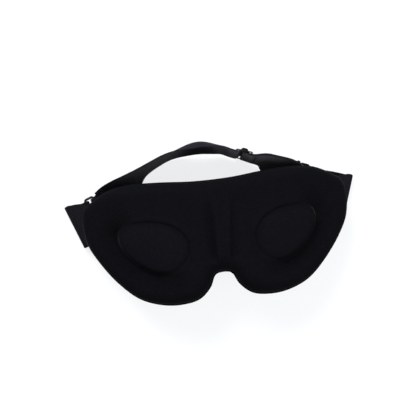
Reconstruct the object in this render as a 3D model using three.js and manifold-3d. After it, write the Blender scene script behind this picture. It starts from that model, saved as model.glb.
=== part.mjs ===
// Contoured sleep eye mask with folded side wings, two strap rings and an adjustable elastic strap.
//
// Units are millimetres. The mask lies with its outer side up: +X runs across the face, +Y points to
// the forehead, +Z points out of the front. The padded body is designed flat in (u, v, w), where u runs
// across, v up and w through the thickness, and is then bent round an axis parallel to Y.

import * as THREE from 'three';
import { mergeVertices } from 'three/addons/utils/BufferGeometryUtils.js';
import Module from 'manifold-3d';

const wasm = await Module();
wasm.setup();

// ---------------------------------------------------------------- driving dimensions

const ARCH_RADIUS = 240;        // radius that the body is bent to
const ARCH_TOP = 39.5;          // height of the lining's back face on the centre line
const LAYER_GAP = 0.4;          // clearance between stacked layers

const COVER_THICKNESS = 1.0;    // outer knit fabric
const LINING_THICKNESS = 1.0;   // inner knit fabric
const LINING_FLANGE = 1.2;      // the lining shows this far beyond the rolled rim
const FOAM_INSET = 3.2;         // the foam stops this far inside the rim
const CROWN = 12;               // height of the front over the lining's back face
const RIM_HEIGHT = 2.7;         // height of the front at the very edge
const RIM_ROLL = 9;             // width of the rolled rim
const LEFT_TUCK = 3;            // the left temple bends in by this much

const GRID = { u: -120.25, v: -26, cell: 6.5, columns: 37, rows: 17 };   // grid that the layers are built on

const EGG = { u: 51.5, v: 27, long: 28.3, short: 17.9, taper: 0.22, tilt: 27 };
const CUP_GAP = 0.5;            // clearance round an eye cup
const CUP_RISE = 1.6;           // crown of the raised eye plateau
const MOAT_DEPTH = 5.2;         // drop outside the plateau, deepest at the temple and below
const MOAT_REACH = 26;          // distance over which that drop eases off
const CAVITY_DEPTH = 8;         // hollow in the lining in front of each eye
const CAVITY_WALL = 11;         // the hollow's wall slopes over this width inside the plateau's edge

const RIDGE_LOW = 8;            // nose ridge, from just above the notch ...
const RIDGE_HIGH = 62;          // ... to the forehead
const RIDGE_HALF_LOW = 4.2;
const RIDGE_HALF_HIGH = 7.5;
const RIDGE_RISE = 1.6;
const RIDGE_VALLEY = 1.8;

const WING_WIDTH = 43;          // width of the side wing along its fold
const WING_SEWN_WIDTH = 32;     // and at its sewn end, which runs straight up the body at WING_SEWN_X
const WING_SEWN_X = 86;
const WING_SEWN_Y = 50;
const WING_THICKNESS = 1.4;
const WING_ANGLE = 20.4;        // the wing runs out and down at this angle to X
const FOLD_RADIUS = 3;          // centre line radius of the fold
const WING_LEVEL_END = 9;       // the folded-back layer is level this far from the fold
const WING_LOWER_Z = 1.6;       // height of the folded-back layer's centre
const WING_CLEARANCE = 0.9;     // gap between the lining and the wing below it
const TAIL = 4;                 // length of a sewn-back fabric tail

const STRAP_WIDTH = 36;
const STRAP_THICKNESS = 1.0;
const LAYER_OFFSET = 0.7;       // each of two strap layers lies this far from the middle surface
const FOLD_BACK = 20;           // sewn fold-back at the left ring
const BAR = 2.4;                // width and thickness of a ring bar
const RING_PITCH = 10;          // distance between a ring's two long bars
const RING_INSIDE = 37.6;       // clear length inside a ring or slider
const WING_LOOP_CLEARANCE = 0.5;
const STRAP_LOOP_CLEARANCE = 1.1;   // larger, so that a ring can turn in the strap's loop
const RING_BLEND = 14;          // the strap lines up with a ring's bar over this length
const SPREAD_FROM = 3;          // two strap layers start to close up this far from a ring ...
const SPREAD_TO = 13;           // ... and lie together from here

const STITCH = {
  wingLength: 30,
  strapLength: 14,
  width: 1.6,
  thickness: 0.5,
  wingGap: 0.35,
  strapGap: 0.9,                // larger, because the strap twists under its stitches
};

const SLIDER_BAR = 1.6;         // width of the slider's bars
const SLIDER_PITCH = 7.5;       // distance from the slider's middle bar to an outer bar
const SLIDER_THICKNESS = 1.4;
const SLIDER_SINK = 1.0;        // the slider's plane lies this far inside the strap's middle surface
const SLIDER_CLEARANCE = 0.22;  // between the strap and the slider's bars, and between two strap layers
const SLIDER_EASE = 11.5;       // the strap settles back to its usual line over this length
const SLIDER_AT_X = 30;

// Each side's wing fold, and its ring: distance inboard of the fold, height of its centre, and the lean
// of its bars.
const RINGS = {
  left: { side: -1, fold: { x: 117.6, y: 50.2 }, inboard: 21.3, z: 4.2, lean: 88 },
  right: { side: 1, fold: { x: 116, y: 48.8 }, inboard: 43.6, z: 11, lean: 70 },
};

// Middle line of the strap from the right ring to the left one: position, and the lean of its width
// away from upright. The four points from 38 to 8 lie on one straight line, where the slider runs.
const STRAP_PATH = [
  { x: 60, y: 78.6, z: 16.2, lean: 38 },
  { x: 48, y: 88.0, z: 20.4, lean: 10 },
  { x: 38, y: 92.6, z: 20.9, lean: 0 },
  { x: 28, y: 96.2, z: 20.9, lean: 0 },
  { x: 18, y: 99.8, z: 20.9, lean: 0 },
  { x: 8, y: 103.4, z: 20.9, lean: 0 },
  { x: -5, y: 106.3, z: 20.5, lean: 0 },
  { x: -18, y: 105.2, z: 19.6, lean: 0 },
  { x: -38, y: 98.8, z: 18.6, lean: 1 },
  { x: -58, y: 88.8, z: 18.4, lean: 8 },
  { x: -70, y: 79.8, z: 15.7, lean: 32 },
  { x: -82, y: 70.0, z: 9.6, lean: 62 },
];

const COLOURS = {
  knit: 0x17181d,
  foam: 0x2a2b2e,
  lining: 0x121317,
  elastic: 0x1c1c20,
  plastic: 0x0c0c0e,
  thread: 0x202126,
};

// ---------------------------------------------------------------- small helpers

const degrees = (angle) => (angle * Math.PI) / 180;
const clamp = (value, low, high) => Math.min(high, Math.max(low, value));
const mix = (a, b, t) => a + (b - a) * t;

function smooth(from, to, value) {
  const t = clamp((value - from) / (to - from), 0, 1);
  return t * t * (3 - 2 * t);
}

function material(colour, roughness) {
  return new THREE.MeshStandardMaterial({ color: colour, roughness, metalness: 0 });
}

// ---------------------------------------------------------------- outlines in the flat body

// Right half of the body's outline, from the notch's centre down, round the temple and along the top.
const HALF_OUTLINE = [
  [4.5, 0], [8, -2.2], [12.6, -11], [21.5, -18.8], [34, -21.4], [50, -20.3], [69, -13.4], [87, 1.0],
  [102, 17.6], [112.4, 34], [115.8, 52], [112.6, 65], [103, 71.2], [88, 76.8], [70, 78.5], [45, 76.9],
  [15, 73.9],
];

function bodyOutline(grow = 0, count = 100) {
  const left = HALF_OUTLINE.map(([u, v]) => [LEFT_TUCK * smooth(70, 115, u) - u, v]).reverse();
  const points = [...HALF_OUTLINE, ...left].map(([u, v]) => new THREE.Vector3(u, v, 0));
  const curve = new THREE.CatmullRomCurve3(points, true, 'centripetal');
  return offsetCurve(curve, grow, count);
}

// An egg with its pointed end towards the temple. side is 1 on the right and -1 on the left.
function eggOutline(side, grow = 0, count = 48) {
  const tilt = degrees(EGG.tilt);
  const points = [];
  for (let i = 0; i < count; i += 1) {
    const angle = (2 * Math.PI * i) / count;
    const along = EGG.long * Math.cos(angle);
    const across = EGG.short * Math.sin(angle) * (1 - EGG.taper * Math.cos(angle));
    const u = EGG.u + along * Math.cos(tilt) - across * Math.sin(tilt);
    const v = EGG.v + along * Math.sin(tilt) + across * Math.cos(tilt);
    points.push(new THREE.Vector3(side * u, v, 0));
  }
  if (side < 0) points.reverse();
  return offsetCurve(new THREE.CatmullRomCurve3(points, true), grow, count);
}

// The nose pad under the ridge: a tapered strip with rounded ends.
function padOutline(grow = 0, count = 36) {
  const points = [];
  for (let i = 0; i < count; i += 1) {
    const angle = (2 * Math.PI * i) / count;
    const t = 0.5 + 0.5 * Math.sin(angle);
    const half = mix(RIDGE_HALF_LOW, RIDGE_HALF_HIGH, t);
    points.push(new THREE.Vector3(half * Math.cos(angle), mix(RIDGE_LOW, RIDGE_HIGH, t), 0));
  }
  return offsetCurve(new THREE.CatmullRomCurve3(points, true), grow, count);
}

// Points spaced along a closed counter-clockwise curve, moved outwards by grow.
function offsetCurve(curve, grow, count) {
  const points = [];
  for (let i = 0; i < count; i += 1) {
    const point = curve.getPointAt(i / count);
    const tangent = curve.getTangentAt(i / count);
    points.push(new THREE.Vector2(point.x + grow * tangent.y, point.y - grow * tangent.x));
  }
  return points;
}

// Distance from (u, v) to a closed outline: positive inside, negative outside.
function depthInside(outline, u, v) {
  let nearest = Infinity;
  let inside = false;
  for (let i = 0; i < outline.length; i += 1) {
    const a = outline[i];
    const b = outline[(i + 1) % outline.length];
    const du = b.x - a.x;
    const dv = b.y - a.y;
    const t = clamp(((u - a.x) * du + (v - a.y) * dv) / (du * du + dv * dv), 0, 1);
    nearest = Math.min(nearest, Math.hypot(u - a.x - t * du, v - a.y - t * dv));
    if (a.y > v !== b.y > v && u < a.x + ((v - a.y) / dv) * du) inside = !inside;
  }
  return inside ? nearest : -nearest;
}

// ---------------------------------------------------------------- surfaces of the flat body

const RIM = bodyOutline();
const RIGHT_EGG = eggOutline(1);

// How strongly the front drops beside the plateau: none above and at the nose, full at the temple
// and below.
function moatShare(u, v) {
  const towards = degrees(-35);
  const length = Math.hypot(u - EGG.u, v - EGG.v) || 1;
  const facing = ((u - EGG.u) * Math.cos(towards) + (v - EGG.v) * Math.sin(towards)) / length;
  return smooth(-0.2, 0.6, facing);
}

function ridgeHeight(u, v) {
  const t = clamp((v - RIDGE_LOW) / (RIDGE_HIGH - RIDGE_LOW), 0, 1);
  const half = mix(RIDGE_HALF_LOW, RIDGE_HALF_HIGH, t);
  const strength = smooth(RIDGE_LOW - 4, RIDGE_LOW + 6, v) * (1 - smooth(RIDGE_HIGH - 24, RIDGE_HIGH, v));
  const raised = RIDGE_RISE * (1 - smooth(half - 1.5, half + 1.5, u));
  const valley = RIDGE_VALLEY * Math.exp(-(((u - half - 4.5) / 4) ** 2));
  return strength * (raised - valley);
}

// Height of the front face over the lining's back face in the flat body.
function frontHeight(u, v) {
  const across = Math.abs(u);
  const beyondEgg = -depthInside(RIGHT_EGG, across, v);
  const drop = MOAT_DEPTH * moatShare(across, v) * (1 - 0.6 * smooth(0, MOAT_REACH, beyondEgg));
  const onPlateau = 1 - smooth(-1.5, 1.5, beyondEgg);
  const radius = Math.hypot((across - EGG.u) / EGG.long, (v - EGG.v) / EGG.short);
  const plateau = CUP_RISE * (1 - 0.6 * Math.min(1, radius * radius));
  const surround = CROWN - drop + ridgeHeight(across, v);
  const height = mix(surround, CROWN + plateau, onPlateau);
  const fromRim = clamp(depthInside(RIM, u, v) / RIM_ROLL, 0, 1);
  const roll = Math.sqrt(1 - (1 - fromRim) ** 2);
  return mix(RIM_HEIGHT, height, roll);
}

// Height of the lining's back face: level, but hollow in front of each eye.
function backHeight(u, v) {
  const beyondEgg = -depthInside(RIGHT_EGG, Math.abs(u), v);
  return CAVITY_DEPTH * (1 - smooth(-CAVITY_WALL, 0, beyondEgg));
}

const liningTop = (u, v) => backHeight(u, v) + LINING_THICKNESS;
const coverLow = (u, v) => frontHeight(u, v) - COVER_THICKNESS;
const paddingLow = (u, v) => liningTop(u, v) + LAYER_GAP;
const paddingHigh = (u, v) => Math.max(coverLow(u, v) - LAYER_GAP, paddingLow(u, v) + 0.2);

// ---------------------------------------------------------------- solids

function toManifold(geometry) {
  const bare = geometry.clone();
  bare.deleteAttribute('normal');
  bare.deleteAttribute('uv');
  const merged = mergeVertices(bare, 1e-4);
  const vertProperties = Float32Array.from(merged.attributes.position.array);
  const triVerts = Uint32Array.from(merged.index.array);
  return new wasm.Manifold(new wasm.Mesh({ numProp: 3, vertProperties, triVerts }));
}

function fromManifold(solid) {
  const mesh = solid.getMesh();
  return indexedGeometry(Array.from(mesh.vertProperties), Array.from(mesh.triVerts));
}

function indexedGeometry(positions, index) {
  const geometry = new THREE.BufferGeometry();
  geometry.setAttribute('position', new THREE.Float32BufferAttribute(positions, 3));
  geometry.setIndex(index);
  geometry.computeVertexNormals();
  return geometry;
}

// A closed block whose top and bottom are two grids of the same size, joined round their edges.
// top(i, j) and bottom(i, j) return points; top is seen counter-clockwise from outside.
function gridBlock(columns, rows, top, bottom) {
  const positions = [];
  const index = [];
  for (const surface of [top, bottom]) {
    for (let i = 0; i <= columns; i += 1) {
      for (let j = 0; j <= rows; j += 1) positions.push(...surface(i, j).toArray());
    }
  }
  const layer = (columns + 1) * (rows + 1);
  const at = (i, j) => i * (rows + 1) + j;
  const quad = (a, b, c, d) => index.push(a, b, c, a, c, d);
  for (let i = 0; i < columns; i += 1) {
    for (let j = 0; j < rows; j += 1) {
      const [a, b, c, d] = [at(i, j), at(i + 1, j), at(i + 1, j + 1), at(i, j + 1)];
      quad(a, b, c, d);
      quad(a + layer, d + layer, c + layer, b + layer);
    }
  }
  const wall = (a, b) => quad(a, a + layer, b + layer, b);
  for (let i = 0; i < columns; i += 1) {
    wall(at(i, 0), at(i + 1, 0));
    wall(at(i + 1, rows), at(i, rows));
  }
  for (let j = 0; j < rows; j += 1) {
    wall(at(0, j + 1), at(0, j));
    wall(at(columns, j), at(columns, j + 1));
  }
  return indexedGeometry(positions, index);
}

// A layer of the flat body between two height functions, before trimming. Every layer uses the same
// grid, so the gaps between layers stay even.
function layerBlock(low, high) {
  const place = (height) => (i, j) => {
    const u = GRID.u + i * GRID.cell;
    const v = GRID.v + j * GRID.cell;
    return new THREE.Vector3(u, v, height(u, v));
  };
  return toManifold(gridBlock(GRID.columns, GRID.rows, place(high), place(low)));
}

const PRISM_REACH = 60;

function prism(outline) {
  const shape = new THREE.Shape(outline);
  const geometry = new THREE.ExtrudeGeometry(shape, { depth: 2 * PRISM_REACH, bevelEnabled: false });
  geometry.translate(0, 0, -PRISM_REACH);
  return toManifold(geometry);
}

const heightOnArch = (x) => ARCH_TOP + Math.sqrt(ARCH_RADIUS ** 2 - x ** 2) - ARCH_RADIUS;

// Bends a flat body solid round the arch's axis.
function bend(geometry) {
  const position = geometry.attributes.position;
  for (let i = 0; i < position.count; i += 1) {
    const angle = position.getX(i) / ARCH_RADIUS;
    const radius = ARCH_RADIUS + position.getZ(i);
    const z = ARCH_TOP + radius * Math.cos(angle) - ARCH_RADIUS;
    position.setXYZ(i, radius * Math.sin(angle), position.getY(i), z);
  }
  geometry.computeVertexNormals();
  return geometry;
}

// A flat strip swept through stations, each with a centre p, width direction w, normal n and width.
function ribbon(stations, thickness) {
  const face = (sign) => (i, j) => {
    const { p, w, n, width } = stations[i];
    const offset = width * (j - 0.5);
    return p.clone().addScaledVector(w, offset).addScaledVector(n, sign * 0.5 * thickness);
  };
  const turned = new THREE.Vector3().subVectors(stations[1].p, stations[0].p).cross(stations[0].w);
  const sign = turned.dot(stations[0].n) > 0 ? 1 : -1;
  return gridBlock(stations.length - 1, 1, face(sign), face(-sign));
}

// ---------------------------------------------------------------- padded body

function frontCover() {
  return bend(fromManifold(layerBlock(coverLow, frontHeight).intersect(prism(RIM))));
}

function faceLining() {
  const trim = prism(bodyOutline(LINING_FLANGE));
  return bend(fromManifold(layerBlock(backHeight, liningTop).intersect(trim)));
}

function foamCore() {
  let foam = layerBlock(paddingLow, paddingHigh);
  foam = foam.intersect(prism(bodyOutline(-FOAM_INSET, 80)));
  for (const side of [-1, 1]) foam = foam.subtract(prism(eggOutline(side, 0, 36)));
  return bend(fromManifold(foam.subtract(prism(padOutline(CUP_GAP, 28)))));
}

function eyeCup(side) {
  const block = layerBlock(paddingLow, paddingHigh);
  return bend(fromManifold(block.intersect(prism(eggOutline(side, -CUP_GAP, 36)))));
}

function nosePad() {
  const block = layerBlock(paddingLow, paddingHigh);
  return bend(fromManifold(block.intersect(prism(padOutline(0, 28)))));
}

// ---------------------------------------------------------------- wings and rings

// The middle of a wing's fold, and directions there: inboard along the wing, across it towards the
// forehead, and up.
function wingFrame({ side, fold }) {
  const angle = degrees(WING_ANGLE);
  return {
    centre: new THREE.Vector3(side * fold.x, fold.y, 0),
    inboard: new THREE.Vector3(-side * Math.cos(angle), Math.sin(angle), 0),
    across: new THREE.Vector3(side * Math.sin(angle), Math.cos(angle), 0),
    up: new THREE.Vector3(0, 0, 1),
  };
}

// A ring's centre, the direction of its bars, inboard direction and normal on the upper side.
function ringFrame(ring) {
  const { centre, inboard, across, up } = wingFrame(ring);
  const lean = degrees(ring.lean);
  const bar = across.clone().multiplyScalar(Math.sin(lean)).addScaledVector(up, Math.cos(lean));
  const normal = new THREE.Vector3().crossVectors(bar, inboard);
  if (normal.z < 0) normal.negate();
  const middle = centre.clone().addScaledVector(inboard, ring.inboard);
  middle.z = ring.z;
  return { centre: middle, bar, inboard, normal };
}

function wingTop(x) {
  const foldTop = WING_LOWER_Z + 2 * FOLD_RADIUS + WING_THICKNESS / 2;
  return Math.max(heightOnArch(x) - WING_CLEARANCE, foldTop);
}

// One edge of the wing at a distance inboard of the fold: sign is 1 at the forehead edge.
function wingEdge(frame, inboard, sign) {
  const point = frame.centre.clone().addScaledVector(frame.inboard, inboard);
  return point.addScaledVector(frame.across, (sign * WING_WIDTH) / 2);
}

// A station of the wing between its low and high edge points.
function edgeStation(frame, low, high) {
  const w = high.clone().sub(low);
  const width = w.length();
  w.normalize();
  const n = new THREE.Vector3().crossVectors(frame.inboard, w).normalize();
  if (n.z < 0) n.negate();
  return { p: low.clone().add(high).multiplyScalar(0.5), w, n, width };
}

const WING_LOOP_RADIUS = BAR / 2 + WING_LOOP_CLEARANCE + WING_THICKNESS / 2;
const STRAP_LOOP_RADIUS = BAR / 2 + STRAP_LOOP_CLEARANCE + STRAP_THICKNESS / 2;

// The wing's upper layer, under the lining, from its sewn end to the start of the fold.
function wingUpperStations(frame, side) {
  const stations = [];
  const steps = 6;
  for (let step = 0; step <= steps; step += 1) {
    const [low, high] = [-1, 1].map((sign) => {
      const y = WING_SEWN_Y + (sign * WING_SEWN_WIDTH) / 2;
      const point = new THREE.Vector3(side * WING_SEWN_X, y, 0);
      point.lerp(wingEdge(frame, FOLD_RADIUS + 1, sign), step / steps);
      point.z = wingTop(Math.abs(point.x)) - WING_THICKNESS / 2;
      return point;
    });
    stations.push(edgeStation(frame, low, high));
  }
  return stations;
}

function wingStations(ring) {
  const frame = wingFrame(ring);
  const loop = ringFrame(ring);
  const stations = wingUpperStations(frame, ring.side);
  for (let step = 0; step <= 6; step += 1) {
    const angle = (Math.PI * step) / 6;
    const inboard = FOLD_RADIUS * (1 - Math.sin(angle));
    const [low, high] = [-1, 1].map((sign) => wingEdge(frame, inboard, sign));
    low.z = WING_LOWER_Z + FOLD_RADIUS * (1 + Math.cos(angle));
    high.z = low.z;
    const station = edgeStation(frame, low, high);
    station.n = frame.up.clone().multiplyScalar(Math.cos(angle));
    station.n.addScaledVector(frame.inboard, -Math.sin(angle));
    stations.push(station);
  }
  stations.push(...lowerStations(frame, loop, ring));
  return stations;
}

// The folded-back layer: level by the fold, turning to the ring's lean, round its bar and back.
function lowerStations(frame, loop, ring) {
  const stations = [];
  const bar = loop.centre.clone().addScaledVector(loop.inboard, -RING_PITCH / 2);
  const under = loop.normal.clone().negate();
  const reach = ring.inboard - RING_PITCH / 2;
  const steps = Math.max(1, Math.round((reach - WING_LEVEL_END) / 5));
  for (let step = 0; step < steps; step += 1) {
    const t = smooth(0, 1, step / steps);
    const inboard = mix(WING_LEVEL_END, reach, step / steps);
    const p = frame.centre.clone().addScaledVector(frame.inboard, inboard);
    p.z = mix(WING_LOWER_Z, bar.z + under.z * WING_LOOP_RADIUS, t);
    const w = frame.across.clone().lerp(loop.bar, t).normalize();
    const n = frame.up.clone().negate().lerp(under, t).normalize();
    stations.push({ p, w, n, width: mix(WING_WIDTH, STRAP_WIDTH, t) });
  }
  stations.push(...wingLoop(bar, loop, under));
  return stations;
}

// The wing's half turn round the ring's outer bar, from under it to over it, and its sewn tail.
function wingLoop(bar, loop, under) {
  const stations = [];
  const steps = 8;
  const width = STRAP_WIDTH;
  for (let step = 0; step <= steps; step += 1) {
    const angle = (Math.PI * step) / steps;
    const n = under.clone().multiplyScalar(Math.cos(angle));
    n.addScaledVector(loop.inboard, Math.sin(angle));
    stations.push({ p: bar.clone().addScaledVector(n, WING_LOOP_RADIUS), w: loop.bar, n, width });
  }
  const p = stations[steps].p.clone().addScaledVector(loop.inboard, -TAIL);
  stations.push({ p, w: loop.bar, n: loop.normal, width });
  return stations;
}

function wing(ring) {
  return ribbon(wingStations(ring), WING_THICKNESS);
}

function rectangle(path, x, y, halfX, halfY, radius) {
  path.moveTo(x - halfX + radius, y - halfY);
  path.lineTo(x + halfX - radius, y - halfY);
  path.absarc(x + halfX - radius, y - halfY + radius, radius, -Math.PI / 2, 0, false);
  path.lineTo(x + halfX, y + halfY - radius);
  path.absarc(x + halfX - radius, y + halfY - radius, radius, 0, Math.PI / 2, false);
  path.lineTo(x - halfX + radius, y + halfY);
  path.absarc(x - halfX + radius, y + halfY - radius, radius, Math.PI / 2, Math.PI, false);
  path.lineTo(x - halfX, y - halfY + radius);
  path.absarc(x - halfX + radius, y - halfY + radius, radius, Math.PI, 1.5 * Math.PI, false);
  return path;
}

// A moulded plastic loop with one or more windows between bars at the given places along X.
function barFrame(bars, width, thickness) {
  const bevel = 0.4;
  const halfX = (bars[bars.length - 1] - bars[0] + width) / 2;
  const halfY = RING_INSIDE / 2 + width;
  const middle = (bars[0] + bars[bars.length - 1]) / 2;
  const shape = rectangle(new THREE.Shape(), middle, 0, halfX - bevel, halfY - bevel, 1.8);
  for (let i = 1; i < bars.length; i += 1) {
    const centre = (bars[i - 1] + bars[i]) / 2;
    const half = (bars[i] - bars[i - 1] - width) / 2;
    shape.holes.push(rectangle(new THREE.Path(), centre, 0, half + bevel, RING_INSIDE / 2 + bevel, 1));
  }
  const geometry = new THREE.ExtrudeGeometry(shape, {
    depth: thickness - 2 * bevel,
    bevelThickness: bevel,
    bevelSize: bevel,
    bevelSegments: 1,
    curveSegments: 4,
  });
  geometry.translate(0, 0, -(thickness / 2 - bevel));
  return geometry;
}

function placed(geometry, origin, xAxis, yAxis) {
  const zAxis = new THREE.Vector3().crossVectors(xAxis, yAxis);
  const matrix = new THREE.Matrix4().makeBasis(xAxis, yAxis, zAxis).setPosition(origin);
  return geometry.applyMatrix4(matrix);
}

function ringSolid(ring) {
  const { centre, bar, inboard } = ringFrame(ring);
  return placed(barFrame([-RING_PITCH / 2, RING_PITCH / 2], BAR, BAR), centre, inboard, bar);
}

// ---------------------------------------------------------------- strap

// The strap's middle surface: a centre curve between the two rings' inner bars, and its lean.
function strapLine() {
  const ends = [RINGS.right, RINGS.left].map((ring) => {
    const { centre, inboard } = ringFrame(ring);
    const bar = centre.clone().addScaledVector(inboard, RING_PITCH / 2);
    return { x: bar.x, y: bar.y, z: bar.z, lean: ring.lean };
  });
  const path = [ends[0], ...STRAP_PATH, ends[1]];
  const points = path.map(({ x, y, z }) => new THREE.Vector3(x, y, z));
  const curve = new THREE.CatmullRomCurve3(points, false, 'centripetal');
  curve.arcLengthDivisions = 600;
  return {
    curve,
    leans: path.map(({ lean }) => lean),
    length: curve.getLength(),
    rightRing: ringFrame(RINGS.right),
    leftRing: ringFrame(RINGS.left),
  };
}

const STRAP = strapLine();

// Frame at a distance along the middle line from the right ring: t runs left, w is the width
// direction and n points away from the head.
function strapFrame(distance) {
  const along = clamp(distance / STRAP.length, 0, 1);
  const p = STRAP.curve.getPointAt(along);
  const t = STRAP.curve.getTangentAt(along);
  const knot = STRAP.curve.getUtoTmapping(along) * (STRAP.leans.length - 1);
  const before = Math.min(Math.floor(knot), STRAP.leans.length - 2);
  const lean = degrees(mix(STRAP.leans[before], STRAP.leans[before + 1], smooth(0, 1, knot - before)));
  const sideways = new THREE.Vector3(t.y, -t.x, 0).normalize();
  if (sideways.y < 0) sideways.negate();
  const w = sideways.multiplyScalar(Math.sin(lean));
  w.z += Math.cos(lean);
  const end = distance < STRAP.length / 2 ? STRAP.rightRing : STRAP.leftRing;
  const fromEnd = Math.min(distance, STRAP.length - distance);
  const share = 1 - smooth(3, RING_BLEND, fromEnd);
  t.lerp(end.inboard.clone().multiplyScalar(end === STRAP.rightRing ? 1 : -1), share).normalize();
  w.lerp(end.bar, share);
  w.addScaledVector(t, -w.dot(t)).normalize();
  const n = new THREE.Vector3().crossVectors(t, w).normalize();
  return { p, t, w, n };
}

// Distance along the middle line at which it crosses the plane x = value.
function strapDistanceAtX(value) {
  let low = 0;
  let high = STRAP.length;
  for (let step = 0; step < 40; step += 1) {
    const middle = (low + high) / 2;
    if (strapFrame(middle).p.x > value) low = middle;
    else high = middle;
  }
  return low;
}

const SLIDER_AT = strapDistanceAtX(SLIDER_AT_X);

const SLIDER_LOOP_RADIUS = SLIDER_BAR / 2 + SLIDER_CLEARANCE + STRAP_THICKNESS / 2;
const UNDER_BAR = SLIDER_THICKNESS / 2 + SLIDER_CLEARANCE + STRAP_THICKNESS / 2;
const OVER_LOOP = SLIDER_LOOP_RADIUS + STRAP_THICKNESS + SLIDER_CLEARANCE;

// Extra distance of a layer from the middle surface beside a ring, where it opens round the bar.
function ringSpread(distance) {
  const fromEnd = Math.min(distance, STRAP.length - distance);
  return (STRAP_LOOP_RADIUS - LAYER_OFFSET) * (1 - smooth(SPREAD_FROM, SPREAD_TO, fromEnd));
}

// How far the strap has moved inwards to pass under the slider's outer bars, from 0 to 1.
function sliderDip(distance) {
  const start = SLIDER_PITCH + SLIDER_BAR;
  return 1 - smooth(start, start + SLIDER_EASE, Math.abs(distance - SLIDER_AT));
}

// Offset of the outer layer: it goes under the slider's outer bars and over its middle bar.
function outerOffset(distance) {
  const hump = 1 - smooth(1.5, SLIDER_PITCH - 1.4, Math.abs(distance - SLIDER_AT));
  const usual = mix(LAYER_OFFSET, -SLIDER_SINK - UNDER_BAR, sliderDip(distance)) + ringSpread(distance);
  return usual + (OVER_LOOP + UNDER_BAR) * hump;
}

// Offset of the inner layer, which lies against the outer one.
function innerOffset(distance) {
  const lowest = -SLIDER_SINK - UNDER_BAR - STRAP_THICKNESS - SLIDER_CLEARANCE;
  return mix(-LAYER_OFFSET, lowest, sliderDip(distance)) - ringSpread(distance);
}

// The right-hand inner layer also rises to pass round the slider's middle bar.
function returnOffset(distance) {
  const rise = smooth(SLIDER_AT - SLIDER_PITCH, SLIDER_AT, distance);
  return mix(innerOffset(distance), -SLIDER_SINK - SLIDER_LOOP_RADIUS, rise);
}

function strapStation(distance, offset, sign) {
  const { p, w, n } = strapFrame(distance);
  return {
    p: p.clone().addScaledVector(n, offset),
    w,
    n: n.clone().multiplyScalar(sign),
    width: STRAP_WIDTH,
  };
}

// Half turn round a bar at one end of the middle line, from the -n side to the +n side or back.
function strapTurn(distance, outwards, fromSign) {
  const { p, t, w, n } = strapFrame(distance);
  const stations = [];
  const steps = 8;
  for (let step = 1; step < steps; step += 1) {
    const angle = (Math.PI * step) / steps;
    const radial = n.clone().multiplyScalar(fromSign * Math.cos(angle));
    radial.addScaledVector(t, outwards * Math.sin(angle));
    const at = p.clone().addScaledVector(radial, STRAP_LOOP_RADIUS);
    stations.push({ p: at, w, n: radial, width: STRAP_WIDTH });
  }
  return stations;
}

// The strap's end wraps the slider's middle bar: up its left side and over its top.
function sliderLoop() {
  const { p, t, w, n } = strapFrame(SLIDER_AT);
  const stations = [];
  for (let degree = 240; degree >= 0; degree -= 24) {
    const angle = degrees(degree);
    const radial = n.clone().multiplyScalar(-Math.cos(angle)).addScaledVector(t, Math.sin(angle));
    const at = p.clone().addScaledVector(n, -SLIDER_SINK).addScaledVector(radial, SLIDER_LOOP_RADIUS);
    stations.push({ p: at, w, n: radial, width: STRAP_WIDTH });
  }
  return stations;
}

// Stations come closer together where the strap humps through the slider.
function outerStep(distance) {
  return Math.abs(distance - SLIDER_AT) < SLIDER_PITCH + 2 * SLIDER_BAR ? 1 : 2.6;
}

// The whole strap in one run: from the slider's middle bar to the right ring, round it, out through the
// slider to the left ring, round that, and back along the sewn fold-back.
function strapStations() {
  const stations = sliderLoop();
  for (let distance = SLIDER_AT - 2; distance > 0.5; distance -= 2.6) {
    stations.push(strapStation(distance, returnOffset(distance), -1));
  }
  stations.push(...strapTurn(0, -1, -1));
  for (let distance = 0; distance < STRAP.length; distance += outerStep(distance)) {
    stations.push(strapStation(distance, outerOffset(distance), 1));
  }
  stations.push(strapStation(STRAP.length, outerOffset(STRAP.length), 1));
  stations.push(...strapTurn(STRAP.length, 1, 1));
  for (let back = 0; back <= FOLD_BACK; back += 2.5) {
    const distance = STRAP.length - back;
    stations.push(strapStation(distance, innerOffset(distance), -1));
  }
  return stations;
}

function slider() {
  const { p, t, w, n } = strapFrame(SLIDER_AT);
  const at = p.clone().addScaledVector(n, -SLIDER_SINK);
  return placed(barFrame([-SLIDER_PITCH, 0, SLIDER_PITCH], SLIDER_BAR, SLIDER_THICKNESS), at, t, w);
}

// ---------------------------------------------------------------- stitching

// A row of stitches lying on a face: at is its middle, along its length, across its width, n outwards.
function stitches(at, along, across, n, length) {
  const stations = [-0.5, 0.5].map((end) => ({
    p: at.clone().addScaledVector(along, end * length),
    w: across,
    n,
    width: STITCH.width,
  }));
  return ribbon(stations, STITCH.thickness);
}

const stitchRise = (fabric, gap) => fabric / 2 + gap + STITCH.thickness / 2;

// Holds the wing's sewn end to the lining; it shows on the wing's underside.
function wingSeam(ring) {
  const [first, second] = wingUpperStations(wingFrame(ring), ring.side);
  const across = second.p.clone().sub(first.p).normalize();
  const at = first.p.clone().lerp(second.p, 0.6);
  at.addScaledVector(first.n, -stitchRise(WING_THICKNESS, STITCH.wingGap));
  return stitches(at, first.w, across, first.n, STITCH.wingLength);
}

// Closes the wing's loop behind the ring's outer bar.
function wingBartack(ring) {
  const { centre, bar, inboard, normal } = ringFrame(ring);
  const at = centre.clone().addScaledVector(inboard, -RING_PITCH / 2 - TAIL / 2);
  at.addScaledVector(normal, WING_LOOP_RADIUS + stitchRise(WING_THICKNESS, STITCH.wingGap));
  return stitches(at, bar, inboard, normal, STITCH.wingLength);
}

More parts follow.
